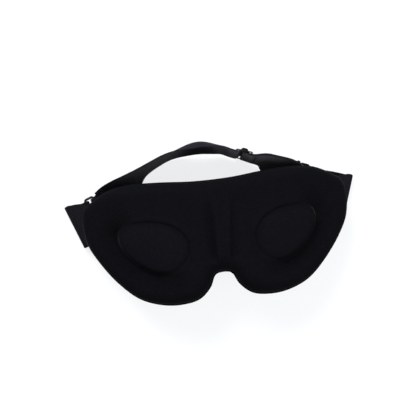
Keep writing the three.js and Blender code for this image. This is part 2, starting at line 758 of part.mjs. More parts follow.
// Crosses the strap's inner face at a distance along the middle line.
function strapBartack(distance) {
  const { p, t, w, n } = strapFrame(distance);
  p.addScaledVector(n, innerOffset(distance) - stitchRise(STRAP_THICKNESS, STITCH.strapGap));
  return stitches(p, w, t, n, STITCH.strapLength);
}

// ---------------------------------------------------------------- assembly

const knit = material(COLOURS.knit, 0.95);
const foam = material(COLOURS.foam, 1);
const plastic = material(COLOURS.plastic, 0.3);
const thread = material(COLOURS.thread, 0.8);

const model = new THREE.Group();

function add(name, geometry, look) {
  const mesh = new THREE.Mesh(geometry, look);
  mesh.name = name;
  model.add(mesh);
}

add('front_cover', frontCover(), knit);
add('foam_core', foamCore(), foam);
add('face_lining', faceLining(), material(COLOURS.lining, 0.95));
add('nose_pad', nosePad(), foam);
for (const [name, ring] of Object.entries(RINGS)) {
  add(`${name}_eye_cup`, eyeCup(ring.side), foam);
  add(`${name}_wing`, wing(ring), knit);
  add(`${name}_wing_seam`, wingSeam(ring), thread);
  add(`${name}_wing_bartack`, wingBartack(ring), thread);
  add(`${name}_ring`, ringSolid(ring), plastic);
}
add('strap', ribbon(strapStations(), STRAP_THICKNESS), material(COLOURS.elastic, 0.85));
add('strap_end_bartack', strapBartack(STRAP.length - FOLD_BACK + 2), thread);
add('slider', slider(), plastic);
add('slider_bartack', strapBartack(SLIDER_AT - SLIDER_PITCH - 4), thread);

// The part's origin is under the middle of its bounding box, on the surface that it rests on.
const box = new THREE.Box3().setFromObject(model);
const middle = box.getCenter(new THREE.Vector3());
model.position.set(-middle.x, -middle.y, -box.min.z);

const group = new THREE.Group();
group.add(model);

export default group;
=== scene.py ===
"""Looks of the contoured sleep eye mask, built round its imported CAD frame.

The soft pieces are designed in millimetres. The padded body is laid out flat in (u, v, w): u runs
across, v towards the forehead and w through the thickness. It is then bent round an axis parallel to Y,
moved into the frame by the places of two CAD nodes, and scaled to metres.
"""

import math

import bmesh
import bpy
import numpy as np
from mathutils import Matrix, Vector, noise
from mathutils.geometry import delaunay_2d_cdt


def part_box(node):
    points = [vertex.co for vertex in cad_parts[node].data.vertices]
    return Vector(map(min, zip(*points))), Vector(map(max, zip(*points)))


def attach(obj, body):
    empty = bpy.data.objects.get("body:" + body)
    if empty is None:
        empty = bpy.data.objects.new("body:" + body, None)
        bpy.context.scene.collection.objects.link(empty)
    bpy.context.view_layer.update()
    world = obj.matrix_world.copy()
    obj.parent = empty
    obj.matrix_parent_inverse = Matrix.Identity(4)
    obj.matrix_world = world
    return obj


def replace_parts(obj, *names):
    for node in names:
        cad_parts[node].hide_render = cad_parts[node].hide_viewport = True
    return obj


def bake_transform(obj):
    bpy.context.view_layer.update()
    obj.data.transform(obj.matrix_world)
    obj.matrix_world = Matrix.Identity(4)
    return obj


MM = 0.001

# ------------ driving dimensions, in millimetres

ARCH_RADIUS = 240.0        # radius that the body is bent to
ARCH_TOP = 39.5            # height of the lining's back face on the centre line
SKIN = 1.0                 # thickness of the cover and of the lining
SKIN_GAP = 0.12            # clearance between two stacked layers
FLANGE = 1.2               # the lining shows this far beyond the rolled rim
FOAM_INSET = 2.4
FOAM_GAP = 0.3             # between the foam core and the inserts
CROWN = 12.0               # height of the front over the lining's back face ...
RIM_HEIGHT = 1.5           # ... and at the very edge
RIM_ROLL = 10.0            # width of the rounded edge
LEFT_TUCK = 3.0            # the left temple bends in by this much

HALF_OUTLINE = [
    (4.5, 0), (8, -2.2), (12.6, -11), (21.5, -18.8), (34, -21.4), (50, -20.3), (69, -13.4), (87, 1.0),
    (102, 17.6), (112.4, 34), (115.8, 52), (112.6, 65), (103, 71.2), (88, 76.8), (70, 78.5), (45, 76.9),
    (15, 73.9),
]

EGG_U, EGG_V, EGG_LONG, EGG_SHORT, EGG_TAPER, EGG_TILT = 51.5, 27.0, 28.3, 17.9, 0.22, 27.0
EGG_SQUEEZE = {-1: 1.0, 1: 0.88}     # the half of each egg beside the nose is shortened to this share
PLATEAU_RISE = 1.8         # the plateau's middle over the crown
PLATEAU_FALL = 0.8         # share of that rise lost at the egg's edge
INSET, INSET_REACH = 0.45, 7.0       # the plateau sinks towards its edge, beside the nose and above
CREASE = 0.4
LIP, LIP_OUT = 0.6, 2.6    # raised lip outside the crease, and its distance from the egg
BRIM = 0.12                # fine edge of the plateau over the moat
MOAT_DEPTH, MOAT_REACH = 4.5, 26.0
MOAT_BEARING = -35.0       # direction from the egg's middle in which the moat is deepest
POCKET_DEPTH, POCKET_RADIUS = 1.3, 7.0          # extra drop near the temple tip of each egg ...
POCKET_ALONG, POCKET_ACROSS = 2.5, -4.5         # ... and its place from that tip
CAVITY_DEPTH, CAVITY_WALL = 8.0, 11.0
BEAD, BEAD_OUT = 0.35, 1.2           # bead on the lining round each eye hollow
SWELLS = [(0.5, 34.0, 1.7), (0.12, 9.0, 4.2)]   # soft unevenness: height, size of its features, seed

RIDGE_LOW, RIDGE_HIGH = 8.0, 62.0
RIDGE_HALF_LOW, RIDGE_HALF_HIGH = 4.2, 7.5
RIDGE_FADE_LOW, RIDGE_FADE_HIGH = 5.0, 22.0
RIDGE_RISE = 1.7
RIDGE_DIP = 0.9            # the shallow dip between the ridge's two soft lips
VALLEY_DEPTH, VALLEY_OUT = 2.4, 2.9
VALLEY_INNER, VALLEY_OUTER = 1.7, 3.4           # widths of the valley's inner and outer wall
VALLEY_SHARE = {-1: 1.15, 1: 0.85}              # each side's share of the valley's depth
RIDGE_START = 1.2          # the ridge leans a little: its middle is here at its low end ...
RIDGE_SLANT = 0.06         # ... and moves this much per millimetre upwards

WING_WIDTH = 43.0
WING_TRIM = {-1: 4.6, 1: 0.0}        # each side's fold stops this far short at its lower end
WING_SEWN_WIDTH = 32.0
WING_SEWN_X, WING_SEWN_Y = 86.0, 50.0
WING_THICKNESS = 1.4
WING_ANGLE = 20.4
FOLD_RADIUS = 3.0
WING_LEVEL_END = 9.0
WING_LOWER_Z = 1.6
WING_CLEARANCE = 0.9
TAIL = 4.0                 # length of the wing behind its loop, where the tack holds it
TURN_STEPS = 17            # stations round a half turn

STRAP_WIDTH = 36.0
STRAP_THICKNESS = 0.8
STRAP_BEAD = 0.1           # the band is this much thicker along its edges
LAYER_OFFSET = 0.5         # each layer of the strap lies this far from its middle surface
FOLD_BACK = 20.0           # the strap's left end is folded back over this length
BAR = 2.0
RING_PITCH = 7.4           # distance between the middles of a ring's two long bars
RING_INSIDE = 37.0
RING_CORNER = 1.6
RING_GRIP = 3.0            # the strap lies in the ring's plane over this length ...
RING_SPREAD = 13.0         # ... and its two layers meet at this one
WING_LOOP_RADIUS = BAR / 2 + 0.5 + WING_THICKNESS / 2
STRAP_LOOP_RADIUS = BAR / 2 + 1.1 + STRAP_THICKNESS / 2
RING_BLEND = 14.0          # the strap turns from the ring's plane to its own path over this length

SLIDER_BAR = 1.3
SLIDER_PITCH = 6.4
SLIDER_INSIDE = 36.3
SLIDER_THICKNESS = 1.0
SLIDER_SINK = 0.5          # the slider's plane lies this far inside the strap's middle surface
SLIDER_CLEARANCE = 0.1
SLIDER_EASE = 12.0         # the strap sinks to the slider over this length
SLIDER_LOOP_RADIUS = SLIDER_BAR / 2 + SLIDER_CLEARANCE + STRAP_THICKNESS / 2
UNDER_BAR = SLIDER_THICKNESS / 2 + SLIDER_CLEARANCE + STRAP_THICKNESS / 2
OVER_LOOP = SLIDER_LOOP_RADIUS + STRAP_THICKNESS + SLIDER_CLEARANCE
SLIDER_AT_X = 30.0

CUP_CURVATURE = 0.048      # at its crest the strap curls round its own length, its edges turned inwards,
CUP_PUSH = 3.2             # and its middle stands out by this much
NEARLY_FLAT = 1e-6         # curvature across a flat strip
CUP_AT_X, CUP_REACH = -7.0, 30.0

TACK_LENGTH, TACK_PITCH = 30.0, 0.6
STITCH, STITCH_GAP = 2.3, 0.8
THREAD_LIFT = 0.1          # a thread's middle lies this far over the cloth
UNDERSIDE = 200.0          # added to a ribbon's flat coordinate across its width on its lower face

# Each side's fold and ring: side, the fold's middle, distance inboard of the fold, height of the ring's
# centre, and the lean of its bars.
RINGS = {"left": (-1, (117.6, 50.2), 21.3, 4.2, 88.0), "right": (1, (116.0, 48.8), 43.6, 11.0, 70.0)}

# Middle line of the strap between the rings: x, y, z and the lean of its width away from upright.
STRAP_PATH = [
    (60, 78.6, 16.2, 38), (48, 88.0, 20.4, 10), (38, 92.6, 20.9, 0), (28, 96.2, 20.9, 0),
    (18, 99.8, 20.9, 0), (8, 103.4, 20.9, 0), (-5, 106.3, 20.5, 0), (-18, 105.2, 19.6, 0),
    (-38, 98.8, 18.6, 1), (-58, 88.8, 18.4, 8), (-70, 79.8, 15.7, 32), (-82, 70.0, 9.6, 62),
]

# ------------ frame

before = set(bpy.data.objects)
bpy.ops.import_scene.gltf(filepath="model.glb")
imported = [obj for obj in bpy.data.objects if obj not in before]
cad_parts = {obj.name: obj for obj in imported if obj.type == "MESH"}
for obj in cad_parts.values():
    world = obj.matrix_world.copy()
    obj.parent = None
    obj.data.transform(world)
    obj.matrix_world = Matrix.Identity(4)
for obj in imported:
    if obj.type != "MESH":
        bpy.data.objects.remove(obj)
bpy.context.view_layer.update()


def frame_shift():
    """What moves a designed point into the frame: X and Y from the nose pad, Z from the right wing."""
    pad_low, pad_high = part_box("nose_pad")
    wing_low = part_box("right_wing")[0]
    x = (pad_low.x + pad_high.x) / 2 / MM
    y = (pad_low.y + pad_high.y) / 2 / MM - (RIDGE_LOW + RIDGE_HIGH) / 2
    z = wing_low.z / MM - (WING_LOWER_Z - WING_THICKNESS / 2)
    return np.array([x, y, z])


SHIFT = frame_shift()

# ------------ small helpers


def smooth(low, high, value):
    t = np.clip((value - low) / (high - low), 0, 1)
    return t * t * (3 - 2 * t)


def mix(a, b, t):
    return a + (b - a) * t


def unit(v):
    return v / np.linalg.norm(v)


def bell(value, centre, width):
    return np.exp(-(((value - centre) / width) ** 2))


def soft_noise(points, scale, seed):
    """Smooth noise of about -0.5 to 0.5 at each point. Scale is the size of its features."""
    return np.array([noise.noise(Vector((p[0] / scale, p[1] / scale, seed))) for p in points])


def catmull(points, closed, steps):
    """Centripetal Catmull-Rom curve through points, whose first three values are their place."""
    points = np.array(points, float)
    if closed:
        padded = np.vstack([points[-1], points, points[0], points[1]])
    else:
        padded = np.vstack([2 * points[0] - points[1], points, 2 * points[-1] - points[-2]])
    place = padded[:, :3]
    gap = np.sqrt(np.linalg.norm(np.diff(place, axis=0), axis=1))
    t = np.linspace(0, 1, steps, endpoint=False)[:, None]
    curve = []
    for i in range(len(padded) - 3):
        x0, x1, x2, x3 = padded[i:i + 4]
        d0, d1, d2 = gap[i:i + 3]
        m1 = ((x1 - x0) / d0 - (x2 - x0) / (d0 + d1) + (x2 - x1) / d1) * d1
        m2 = ((x2 - x1) / d1 - (x3 - x1) / (d1 + d2) + (x3 - x2) / d2) * d1
        second = 3 * (x2 - x1) - 2 * m1 - m2
        third = 2 * (x1 - x2) + m1 + m2
        curve.append(x1 + m1 * t + second * t ** 2 + third * t ** 3)
    if not closed:
        curve.append(points[-1:])
    return np.vstack(curve)


def resample(curve, count):
    """Count points at even steps along a closed polyline."""
    loop = np.vstack([curve, curve[:1]])
    length = np.concatenate([[0], np.cumsum(np.linalg.norm(np.diff(loop, axis=0), axis=1))])
    at = np.linspace(0, length[-1], count, endpoint=False)
    return np.stack([np.interp(at, length, loop[:, k]) for k in range(loop.shape[1])], axis=1)


def grown(loop, distance):
    """A closed counter-clockwise outline moved outwards by distance."""
    tangent = np.roll(loop, -1, axis=0) - np.roll(loop, 1, axis=0)
    tangent /= np.linalg.norm(tangent, axis=1)[:, None]
    return loop + distance * np.stack([tangent[:, 1], -tangent[:, 0]], axis=1)


def depth_inside(outline, points):
    """Distance from each point to a closed outline: positive inside, negative outside."""
    a = outline
    d = np.roll(outline, -1, axis=0) - a
    length = (d ** 2).sum(axis=1)
    result = np.empty(len(points))
    for start in range(0, len(points), 3000):
        p = points[start:start + 3000, None, :]
        t = np.clip(((p - a) * d).sum(axis=2) / length, 0, 1)
        near = np.sqrt((((p - a) - t[..., None] * d) ** 2).sum(axis=2).min(axis=1))
        above = (a[:, 1] > p[..., 1]) != ((a + d)[:, 1] > p[..., 1])
        slope = np.where(np.abs(d[:, 1]) < 1e-9, 1e-9, d[:, 1])
        crossing = p[..., 0] < a[:, 0] + (p[..., 1] - a[:, 1]) / slope * d[:, 0]
        inside = (above & crossing).sum(axis=1) % 2 == 1
        result[start:start + 3000] = np.where(inside, near, -near)
    return result


# ------------ outlines and surfaces of the flat body


def body_outline(count):
    points = HALF_OUTLINE + [(LEFT_TUCK * smooth(70, 115, u) - u, v) for u, v in reversed(HALF_OUTLINE)]
    curve = catmull([(u, v, 0) for u, v in points], True, 40)[:, :2]
    return resample(curve, count)


def egg_outline(side, count):
    """An egg with its pointed end towards the temple, counter-clockwise."""
    angle = np.linspace(0, 2 * math.pi, 4 * count, endpoint=False)
    along = EGG_LONG * np.cos(angle)
    across = EGG_SHORT * np.sin(angle) * (1 - EGG_TAPER * np.cos(angle))
    tilt = math.radians(EGG_TILT)
    u = EGG_U + along * math.cos(tilt) - across * math.sin(tilt)
    v = EGG_V + along * math.sin(tilt) + across * math.cos(tilt)
    u = np.where(u < EGG_U, EGG_U + (u - EGG_U) * EGG_SQUEEZE[side], u)
    egg = np.stack([side * u, v], axis=1)
    return resample(egg if side > 0 else egg[::-1], count)


def ridge_middle(v):
    return RIDGE_START + RIDGE_SLANT * (v - RIDGE_LOW)


def pad_outline(count):
    angle = np.linspace(0, 2 * math.pi, 4 * count, endpoint=False)
    t = 0.5 + 0.5 * np.sin(angle)
    v = mix(RIDGE_LOW, RIDGE_HIGH, t)
    u = ridge_middle(v) + mix(RIDGE_HALF_LOW, RIDGE_HALF_HIGH, t) * np.cos(angle)
    return resample(np.stack([u, v], axis=1), count)


RIM = body_outline(500)
EGGS = {side: egg_outline(side, 200) for side in (-1, 1)}


def beyond_egg(points):
    """Distance outside the nearer egg, negative on its plateau."""
    left, right = (depth_inside(EGGS[side], points) for side in (-1, 1))
    return -np.maximum(left, right)


def mirrored(points):
    """Points of both sides on the right one, where the egg has its full length."""
    u = np.abs(points[:, 0])
    squeeze = np.where(points[:, 0] < 0, EGG_SQUEEZE[-1], EGG_SQUEEZE[1])
    u = np.where(u < EGG_U, EGG_U + (u - EGG_U) / squeeze, u)
    return np.stack([u, points[:, 1]], axis=1)


def moat_share(points):
    """How strongly the front drops beside the plateau: not at all at the nose, fully at the temple."""
    towards = math.radians(MOAT_BEARING)
    away = points - [EGG_U, EGG_V]
    facing = away @ [math.cos(towards), math.sin(towards)] / np.maximum(np.linalg.norm(away, axis=1), 1)
    return smooth(-0.2, 0.6, facing)


def ridge_height(points):
    """The nose ridge: two soft lips round a dip, and a valley on each side that deepens downwards."""
    u, v = points.T
    t = np.clip((v - RIDGE_LOW) / (RIDGE_HIGH - RIDGE_LOW), 0, 1)
    half = mix(RIDGE_HALF_LOW, RIDGE_HALF_HIGH, t)
    offset = u - ridge_middle(v)
    out = np.abs(offset)
    fade_in = smooth(RIDGE_LOW - 3, RIDGE_LOW + RIDGE_FADE_LOW, v)
    fade_out = smooth(RIDGE_HIGH - RIDGE_FADE_HIGH, RIDGE_HIGH + 4, v)
    raised = RIDGE_RISE * (1 - smooth(half - 2.2, half + 2.6, out))
    dip = RIDGE_DIP * bell(offset, 0, half * 0.5)
    share = np.where(offset < 0, VALLEY_SHARE[-1], VALLEY_SHARE[1]) * mix(1.15, 0.6, t)
    bottom = half + VALLEY_OUT
    valley = VALLEY_DEPTH * bell(out, bottom, np.where(out < bottom, VALLEY_INNER, VALLEY_OUTER)) * share
    return fade_in * (1 - fade_out) * (raised - dip - valley)


def egg_edge(points):
    """Distance outside the egg and the moat's strength there."""
    return beyond_egg(points), moat_share(mirrored(points))


def plateau_height(points):
    """Raised eye area, its surround and the crisp edge between them."""
    beyond, moat = egg_edge(points)
    right = mirrored(points)
    along = math.radians(EGG_TILT)
    axis, normal = [math.cos(along), math.sin(along)], [-math.sin(along), math.cos(along)]
    away = right - [EGG_U, EGG_V]
    radius = np.hypot(away @ axis / EGG_LONG, away @ normal / EGG_SHORT)
    crown = PLATEAU_RISE * (1 - PLATEAU_FALL * np.minimum(1, radius ** 2))
    pocket = np.hypot(away @ axis - EGG_LONG - POCKET_ALONG, away @ normal - POCKET_ACROSS)
    drop = MOAT_DEPTH * moat * (1 - 0.6 * smooth(0, MOAT_REACH, beyond))
    drop = drop + POCKET_DEPTH * bell(pocket, 0, POCKET_RADIUS)
    inside = 1 - smooth(-0.4 - 0.8 * moat, 1.8 + 2.8 * moat, beyond)
    crease = CREASE * bell(beyond, 0.2, 0.6) * (1 - 0.85 * moat)
    inset = INSET * (1 - smooth(0, INSET_REACH, -beyond)) * (1 - moat)
    lip = LIP * bell(beyond, LIP_OUT, 2.0) * (1 - moat)
    brim = BRIM * bell(beyond, -1.3, 0.9) * moat
    surround = CROWN - drop + ridge_height(points) + lip
    return mix(surround, CROWN + crown - inset + brim, inside) - crease


def painted_light_and_shade(points):
    """Painted light and shade for the knit's colour: lighter on the plateau and the ridge's lips, darker
    in the moat, the crease and the valleys.
    """
    beyond, moat = egg_edge(points)
    plateau = 0.2 * (1 - smooth(-6, 0, beyond))
    hollow = 0.3 * moat * smooth(-0.5, 1.5, beyond) * (1 - smooth(2, MOAT_REACH, beyond))
    crease = 0.18 * bell(beyond, 0.3, 0.9) * (1 - 0.6 * moat)
    ridge = 0.05 * ridge_height(points)
    return plateau - hollow - crease + ridge


def front_height(points, depth):
    """Height of the front face over the lining's back face. Depth is the distance inside the rim."""
    swell = sum(size * soft_noise(points, scale, seed) for size, scale, seed in SWELLS)
    height = plateau_height(points) + swell
    from_rim = np.clip(depth / RIM_ROLL, 0, 1)
    return mix(RIM_HEIGHT, height, np.sqrt(1 - (1 - from_rim) ** 2))


def back_height(points):
    beyond = beyond_egg(points)
    bead = BEAD * bell(beyond, BEAD_OUT, 1.2)
    return CAVITY_DEPTH * (1 - smooth(-CAVITY_WALL, 0, beyond)) - bead


def bent(flat):
    """Bends flat (u, v, w) points round the arch's axis."""
    u, v, w = flat.T
    radius = ARCH_RADIUS + w
    angle = u / ARCH_RADIUS
    return np.stack([radius * np.sin(angle), v, ARCH_TOP + radius * np.cos(angle) - ARCH_RADIUS], axis=1)


# ------------ meshes


SHARP = 50                 # edges that turn more than this many degrees stay sharp


def in_frame(points):
    return (np.asarray(points) + SHIFT) * MM


def add_mesh(name, points, faces, uv=None, sharp=SHARP):
    """A named object from designed points, with its coordinates in millimetres kept as a UV map."""
    mesh = bpy.data.meshes.new(name)
    mesh.from_pydata(in_frame(points).tolist(), [], [list(map(int, f)) for f in faces])
    mesh.update()
    if uv is not None:
        layer = mesh.uv_layers.new(name="layout")
        corner = np.empty(len(mesh.loops), np.int32)
        mesh.loops.foreach_get("vertex_index", corner)
        layer.data.foreach_set("uv", np.asarray(uv, np.float32)[corner].ravel())
    mesh.shade_smooth()
    mesh.set_sharp_from_angle(angle=math.radians(sharp))
    obj = bpy.data.objects.new(name, mesh)
    bpy.context.scene.collection.objects.link(obj)
    return obj


def dress(obj, material):
    obj.data.materials.clear()
    obj.data.materials.append(material)
    return obj


def finish(obj, material, node, body):
    """Gives a rigid piece its material, hides the CAD node that it stands for and puts it on the body it
    rides on.
    """
    dress(obj, material)
    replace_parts(obj, node)
    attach(obj, body)


def lattice(low, high, step):
    """Points of a triangular grid over a box."""
    rows = []
    for row, v in enumerate(np.arange(low[1], high[1], step * math.sqrt(0.75))):
        u = np.arange(low[0] + (row % 2) * step / 2, high[0], step)
        rows.append(np.stack([u, np.full(len(u), v)], axis=1))
    return np.vstack(rows)


RIM_RINGS = [0.1, 0.3, 0.6, 1.0, 1.6, 2.4, 3.4, 4.6, 6.0]
EGG_RINGS = [-3.4, -2.7, -2.0, -1.3, -0.7, -0.1, 0.4, 0.9, 1.4, 2.0, 2.7, 3.5, 4.4]


def inner_points(outline, step, rim_rings, egg_rings):
    """Points inside an outline: rows that follow its edge and the eggs, and a grid in between."""
    keep = []
    for distance in rim_rings:
        ring = grown(outline, -distance)
        keep.append(ring[depth_inside(outline, ring) > 0.85 * distance])
    grid = lattice(outline.min(axis=0), outline.max(axis=0), step)
    if egg_rings:
        for side in (-1, 1):
            for distance in egg_rings:
                keep.append(grown(egg_outline(side, 210), distance))
        beyond = beyond_egg(grid)
        grid = grid[(beyond < egg_rings[0] - step / 2) | (beyond > egg_rings[-1] + step / 2)]
    keep.append(grid[depth_inside(outline, grid) > rim_rings[-1] + step / 2])
    points = np.vstack(keep)
    return points[depth_inside(outline, points) > 0.05]


def triangulated(outline, holes, extra):
    """Flat points and triangles over an outline with holes, using the extra points."""
    loops = [outline, *holes]
    edges = []
    for loop in loops:
        start, count = len(edges), len(loop)
        edges += [(start + i, start + (i + 1) % count) for i in range(count)]
    points = [Vector(p) for p in np.vstack([*loops, extra])]
    result = delaunay_2d_cdt(points, edges, [], 2 if holes else 1, 1e-4)
    flat = np.array([tuple(p) for p in result[0]])
    faces = np.array([tuple(f) for f in result[2]])
    used = np.unique(faces)
    fresh = np.full(len(flat), -1)
    fresh[used] = np.arange(len(used))
    return flat[used], fresh[faces]


def padded_sheet(name, outline, holes, extra, low, high, shade=None):
    """A closed layer of the body between two height functions, which meet all along its edges.

    Shade gives each flat point a value of painted light and shade, for the material's colour.
    """
    flat, faces = triangulated(outline, holes, extra)
    a, b, c = (flat[faces[:, k]] for k in range(3))
    turn = (b - a)[:, 0] * (c - a)[:, 1] - (b - a)[:, 1] * (c - a)[:, 0]
    faces[turn < 0] = faces[turn < 0][:, ::-1]
    sides = np.vstack([faces[:, [0, 1]], faces[:, [1, 2]], faces[:, [2, 0]]])
    keys, counts = np.unique(np.sort(sides, axis=1), axis=0, return_counts=True)
    edge = np.zeros(len(flat), bool)
    edge[keys[counts == 1].ravel()] = True
    top, bottom = high(flat), low(flat)
    middle = (top + bottom) / 2
    top = np.where(edge, middle, top)
    below = np.full(len(flat), -1)
    inner = np.flatnonzero(~edge)
    below[edge] = np.flatnonzero(edge)
    below[inner] = len(flat) + np.arange(len(inner))
    points = np.vstack([np.column_stack([flat, top]), np.column_stack([flat[inner], bottom[inner]])])
    uv = np.vstack([flat, flat[inner]])
    sheet = add_mesh(name, bent(points), np.vstack([faces, below[faces][:, ::-1]]), uv, 60)
    # stores the painted light and shade as a point attribute for the knit's colour
    if shade:
        values = sheet.data.attributes.new("painted_light_and_shade", "FLOAT", "POINT").data
        values.foreach_set("value", shade(uv).astype(np.float32))
    return sheet


def edge_thickness(depth, full, rounding):
    """Thickness of a layer with a rounded edge."""
    return full * np.sqrt(1 - (1 - np.clip(depth / rounding, 0, 1)) ** 2)


def front_cover():
    def high(flat):
        return front_height(flat, depth_inside(RIM, flat))

    def low(flat):
        depth = depth_inside(RIM, flat)
        top = front_height(flat, depth)
        return np.maximum(top - edge_thickness(depth, SKIN, 0.8), SKIN + SKIN_GAP + back_height(flat))

    extra = inner_points(RIM, 1.15, RIM_RINGS, EGG_RINGS)
    return padded_sheet("front_cover_skin", body_outline(700), [], extra, low, high, painted_light_and_shade)


def face_lining():
    outline = grown(body_outline(700), FLANGE)

    def face(flat, sign):
        half = edge_thickness(depth_inside(outline, flat), SKIN / 2, 0.5)
        return back_height(flat) + SKIN / 2 + sign * half

    def low(flat):
        return face(flat, -1)

    def high(flat):
        return face(flat, 1)

    extra = inner_points(outline, 1.5, [0.12, 0.35, 0.7, 1.2, 2.0], EGG_RINGS)
    return padded_sheet("face_lining_skin", outline, [], extra, low, high)


def padding(name, outline, holes, step):
    """A foam piece that fills the space between the two skins."""
    def depth(flat):
        nearest = depth_inside(outline, flat)
        for hole in holes:
            nearest = np.minimum(nearest, -depth_inside(hole, flat))
        return nearest

    def low(flat):
        return back_height(flat) + SKIN + SKIN_GAP

    def high(flat):
        top = front_height(flat, depth_inside(RIM, flat)) - SKIN - SKIN_GAP
        full = np.maximum(top - low(flat), 0.2)
        return low(flat) + full * edge_thickness(depth(flat), 1, 1.0)

    extra = inner_points(outline, step, [0.2, 0.5, 1.0, 1.8], [])
    for hole in holes:
        extra = extra[depth_inside(hole, extra) < -0.15]
    return padded_sheet(name, outline, holes, extra, low, high)


# ------------ ribbons


def ribbon_profile(width, thickness, across, bead):
    """A strip's cross-section with round edges: places across the width and through the thickness."""
    r = thickness / 2
    flat = np.linspace(width / 2 - r, -(width / 2 - r), across)
    swell = bead * bell(np.abs(flat), width / 2 - 1.3, 0.7)
    left = np.radians([112, 135, 158, 180, 202, 225, 248])
    right = np.radians([-68, -45, -22, 0, 22, 45, 68])
    s = [flat, -(width / 2 - r) + r * np.cos(left), -flat, (width / 2 - r) + r * np.cos(right)]
    h = [r + swell, r * np.sin(left), -(r + swell), r * np.sin(right)]
    return np.concatenate(s), np.concatenate(h)


def no_cup(_distance):
    return NEARLY_FLAT


def ribbon(name, runs, thickness, across=26, bead=0.0, cup=no_cup):
    """Strips swept through stations (place, width direction, normal, width, distance); one body a run.

    Cup gives the curvature across the strip at a distance, which turns its edges away from the normal.
    """
    points, faces, uv = [], [], []
    for stations in runs:
        base = sum(len(p) for p in points)
        rings = []
        for place, w, n, width, distance in stations:
            s, h = ribbon_profile(width, thickness, across, bead)
            curvature = cup(distance)
            angle = (s * curvature)[:, None]
            bow = w * np.sin(angle) / curvature - n * (1 - np.cos(angle)) / curvature
            rings.append(place + bow + h[:, None] * (n * np.cos(angle) + w * np.sin(angle)))
            uv.append(np.column_stack([np.full(len(s), distance), s + np.where(h < 0, UNDERSIDE, 0)]))
        points.append(np.vstack(rings))
        faces += tube_faces(base, len(rings), len(rings[0]))
    return facing_outwards(add_mesh(name, np.vstack(points), faces, np.vstack(uv)))


def tube_faces(base, count, size, closed=False):
    """Faces over count rings of size points each, with both ends capped unless the tube is closed."""
    faces = []
    for i in range(count if closed else count - 1):
        here, after = base + i * size, base + (i + 1) % count * size
        for k in range(size):
            beside = (k + 1) % size
            faces.append((here + k, here + beside, after + beside, after + k))
    if not closed:
        faces.append(range(base + size - 1, base - 1, -1))
        faces.append(range(base + (count - 1) * size, base + count * size))
    return faces


def facing_outwards(obj):
    mesh = bmesh.new()
    mesh.from_mesh(obj.data)
    bmesh.ops.recalc_face_normals(mesh, faces=mesh.faces)
    mesh.to_mesh(obj.data)
    mesh.free()
    return obj


# ------------ wings and rings


def wing_frame(ring):
    """The middle of a wing's fold, and the directions inboard along the wing and across it."""
    side, fold = ring[:2]
    angle = math.radians(WING_ANGLE)
    centre = np.array([side * fold[0], fold[1], 0.0])
    inboard = np.array([-side * math.cos(angle), math.sin(angle), 0.0])
    across = np.array([side * math.sin(angle), math.cos(angle), 0.0])
    return centre, inboard, across


UP = np.array([0.0, 0.0, 1.0])


def ring_frame(ring):
    """A ring's centre, the direction of its bars, the inboard direction and its upper side's normal."""
    _, _, reach, z, lean = ring
    centre, inboard, across = wing_frame(ring)
    bar = across * math.sin(math.radians(lean)) + UP * math.cos(math.radians(lean))
    normal = np.cross(bar, inboard)
    if normal[2] < 0:
        normal = -normal
    middle = centre + inboard * reach
    middle[2] = z
    return middle, bar, inboard, normal


def wing_top(x):
    """Height of the wing's upper face: just under the arch, then level with the top of its fold."""
    arch = ARCH_TOP + math.sqrt(ARCH_RADIUS ** 2 - x ** 2) - ARCH_RADIUS
    return max(arch - WING_CLEARANCE, WING_LOWER_Z + 2 * FOLD_RADIUS + WING_THICKNESS / 2)


def edge_station(inboard, low, high):
    w = high - low
    width = np.linalg.norm(w)
    n = unit(np.cross(inboard, w))
    return (low + high) / 2, w / width, n if n[2] > 0 else -n, width


def wing_stations(ring):
    """The wing from its sewn end under the lining, round the fold, and back to its loop on the ring."""
    side = ring[0]
    centre, inboard, across = wing_frame(ring)
    stations = []
    for share in np.linspace(0, 1, 24, endpoint=False):
        ends = []
        for sign in (-1, 1):
            sewn = np.array([side * WING_SEWN_X, WING_SEWN_Y + sign * WING_SEWN_WIDTH / 2, 0.0])
            reach = WING_WIDTH / 2 - (WING_TRIM[side] if sign < 0 else 0)
            fold = centre + inboard * (FOLD_RADIUS + 1) + across * sign * reach
            point = mix(sewn, fold, share)
            point[2] = wing_top(abs(point[0])) - WING_THICKNESS / 2
            ends.append(point)
        stations.append(edge_station(inboard, *ends))
    fold_width = WING_WIDTH - WING_TRIM[side]
    aside = across * WING_TRIM[side] / 2
    for angle in np.linspace(0, math.pi, TURN_STEPS):
        place = centre + aside + inboard * FOLD_RADIUS * (1 - math.sin(angle))
        place[2] = WING_LOWER_Z + FOLD_RADIUS * (1 + math.cos(angle))
        stations.append((place, across, UP * math.cos(angle) - inboard * math.sin(angle), fold_width))
    middle, bar, _, normal = ring_frame(ring)
    outer = middle - inboard * RING_PITCH / 2
    under = -normal
    reach = ring[2] - RING_PITCH / 2
    level = WING_LEVEL_END - FOLD_RADIUS
    for share in np.linspace(0, 1, max(6, int(reach - level)), endpoint=False)[1:]:
        t = smooth(0.1, 1, share)
        distance = mix(FOLD_RADIUS, reach, share)
        place = centre + aside * (1 - t) + inboard * distance
        place[2] = mix(WING_LOWER_Z, outer[2] + under[2] * WING_LOOP_RADIUS, t)
        width = mix(fold_width, STRAP_WIDTH, t)
        stations.append((place, unit(mix(across, bar, t)), unit(mix(-UP, under, t)), width))
    for angle in np.linspace(0, math.pi, TURN_STEPS):
        n = under * math.cos(angle) + inboard * math.sin(angle)
        stations.append((outer + n * WING_LOOP_RADIUS, bar, n, STRAP_WIDTH))
    last = stations[-1][0]
    stations += [(last - inboard * back, bar, normal, STRAP_WIDTH) for back in (1, 2, 3, TAIL)]
    return measured(stations)


def measured(stations):
    """Adds the distance along the strip to each station."""
    gaps = [np.linalg.norm(b[0] - a[0]) for a, b in zip(stations, stations[1:])]
    return [(*station, distance) for station, distance in zip(stations, np.cumsum([0, *gaps]))]


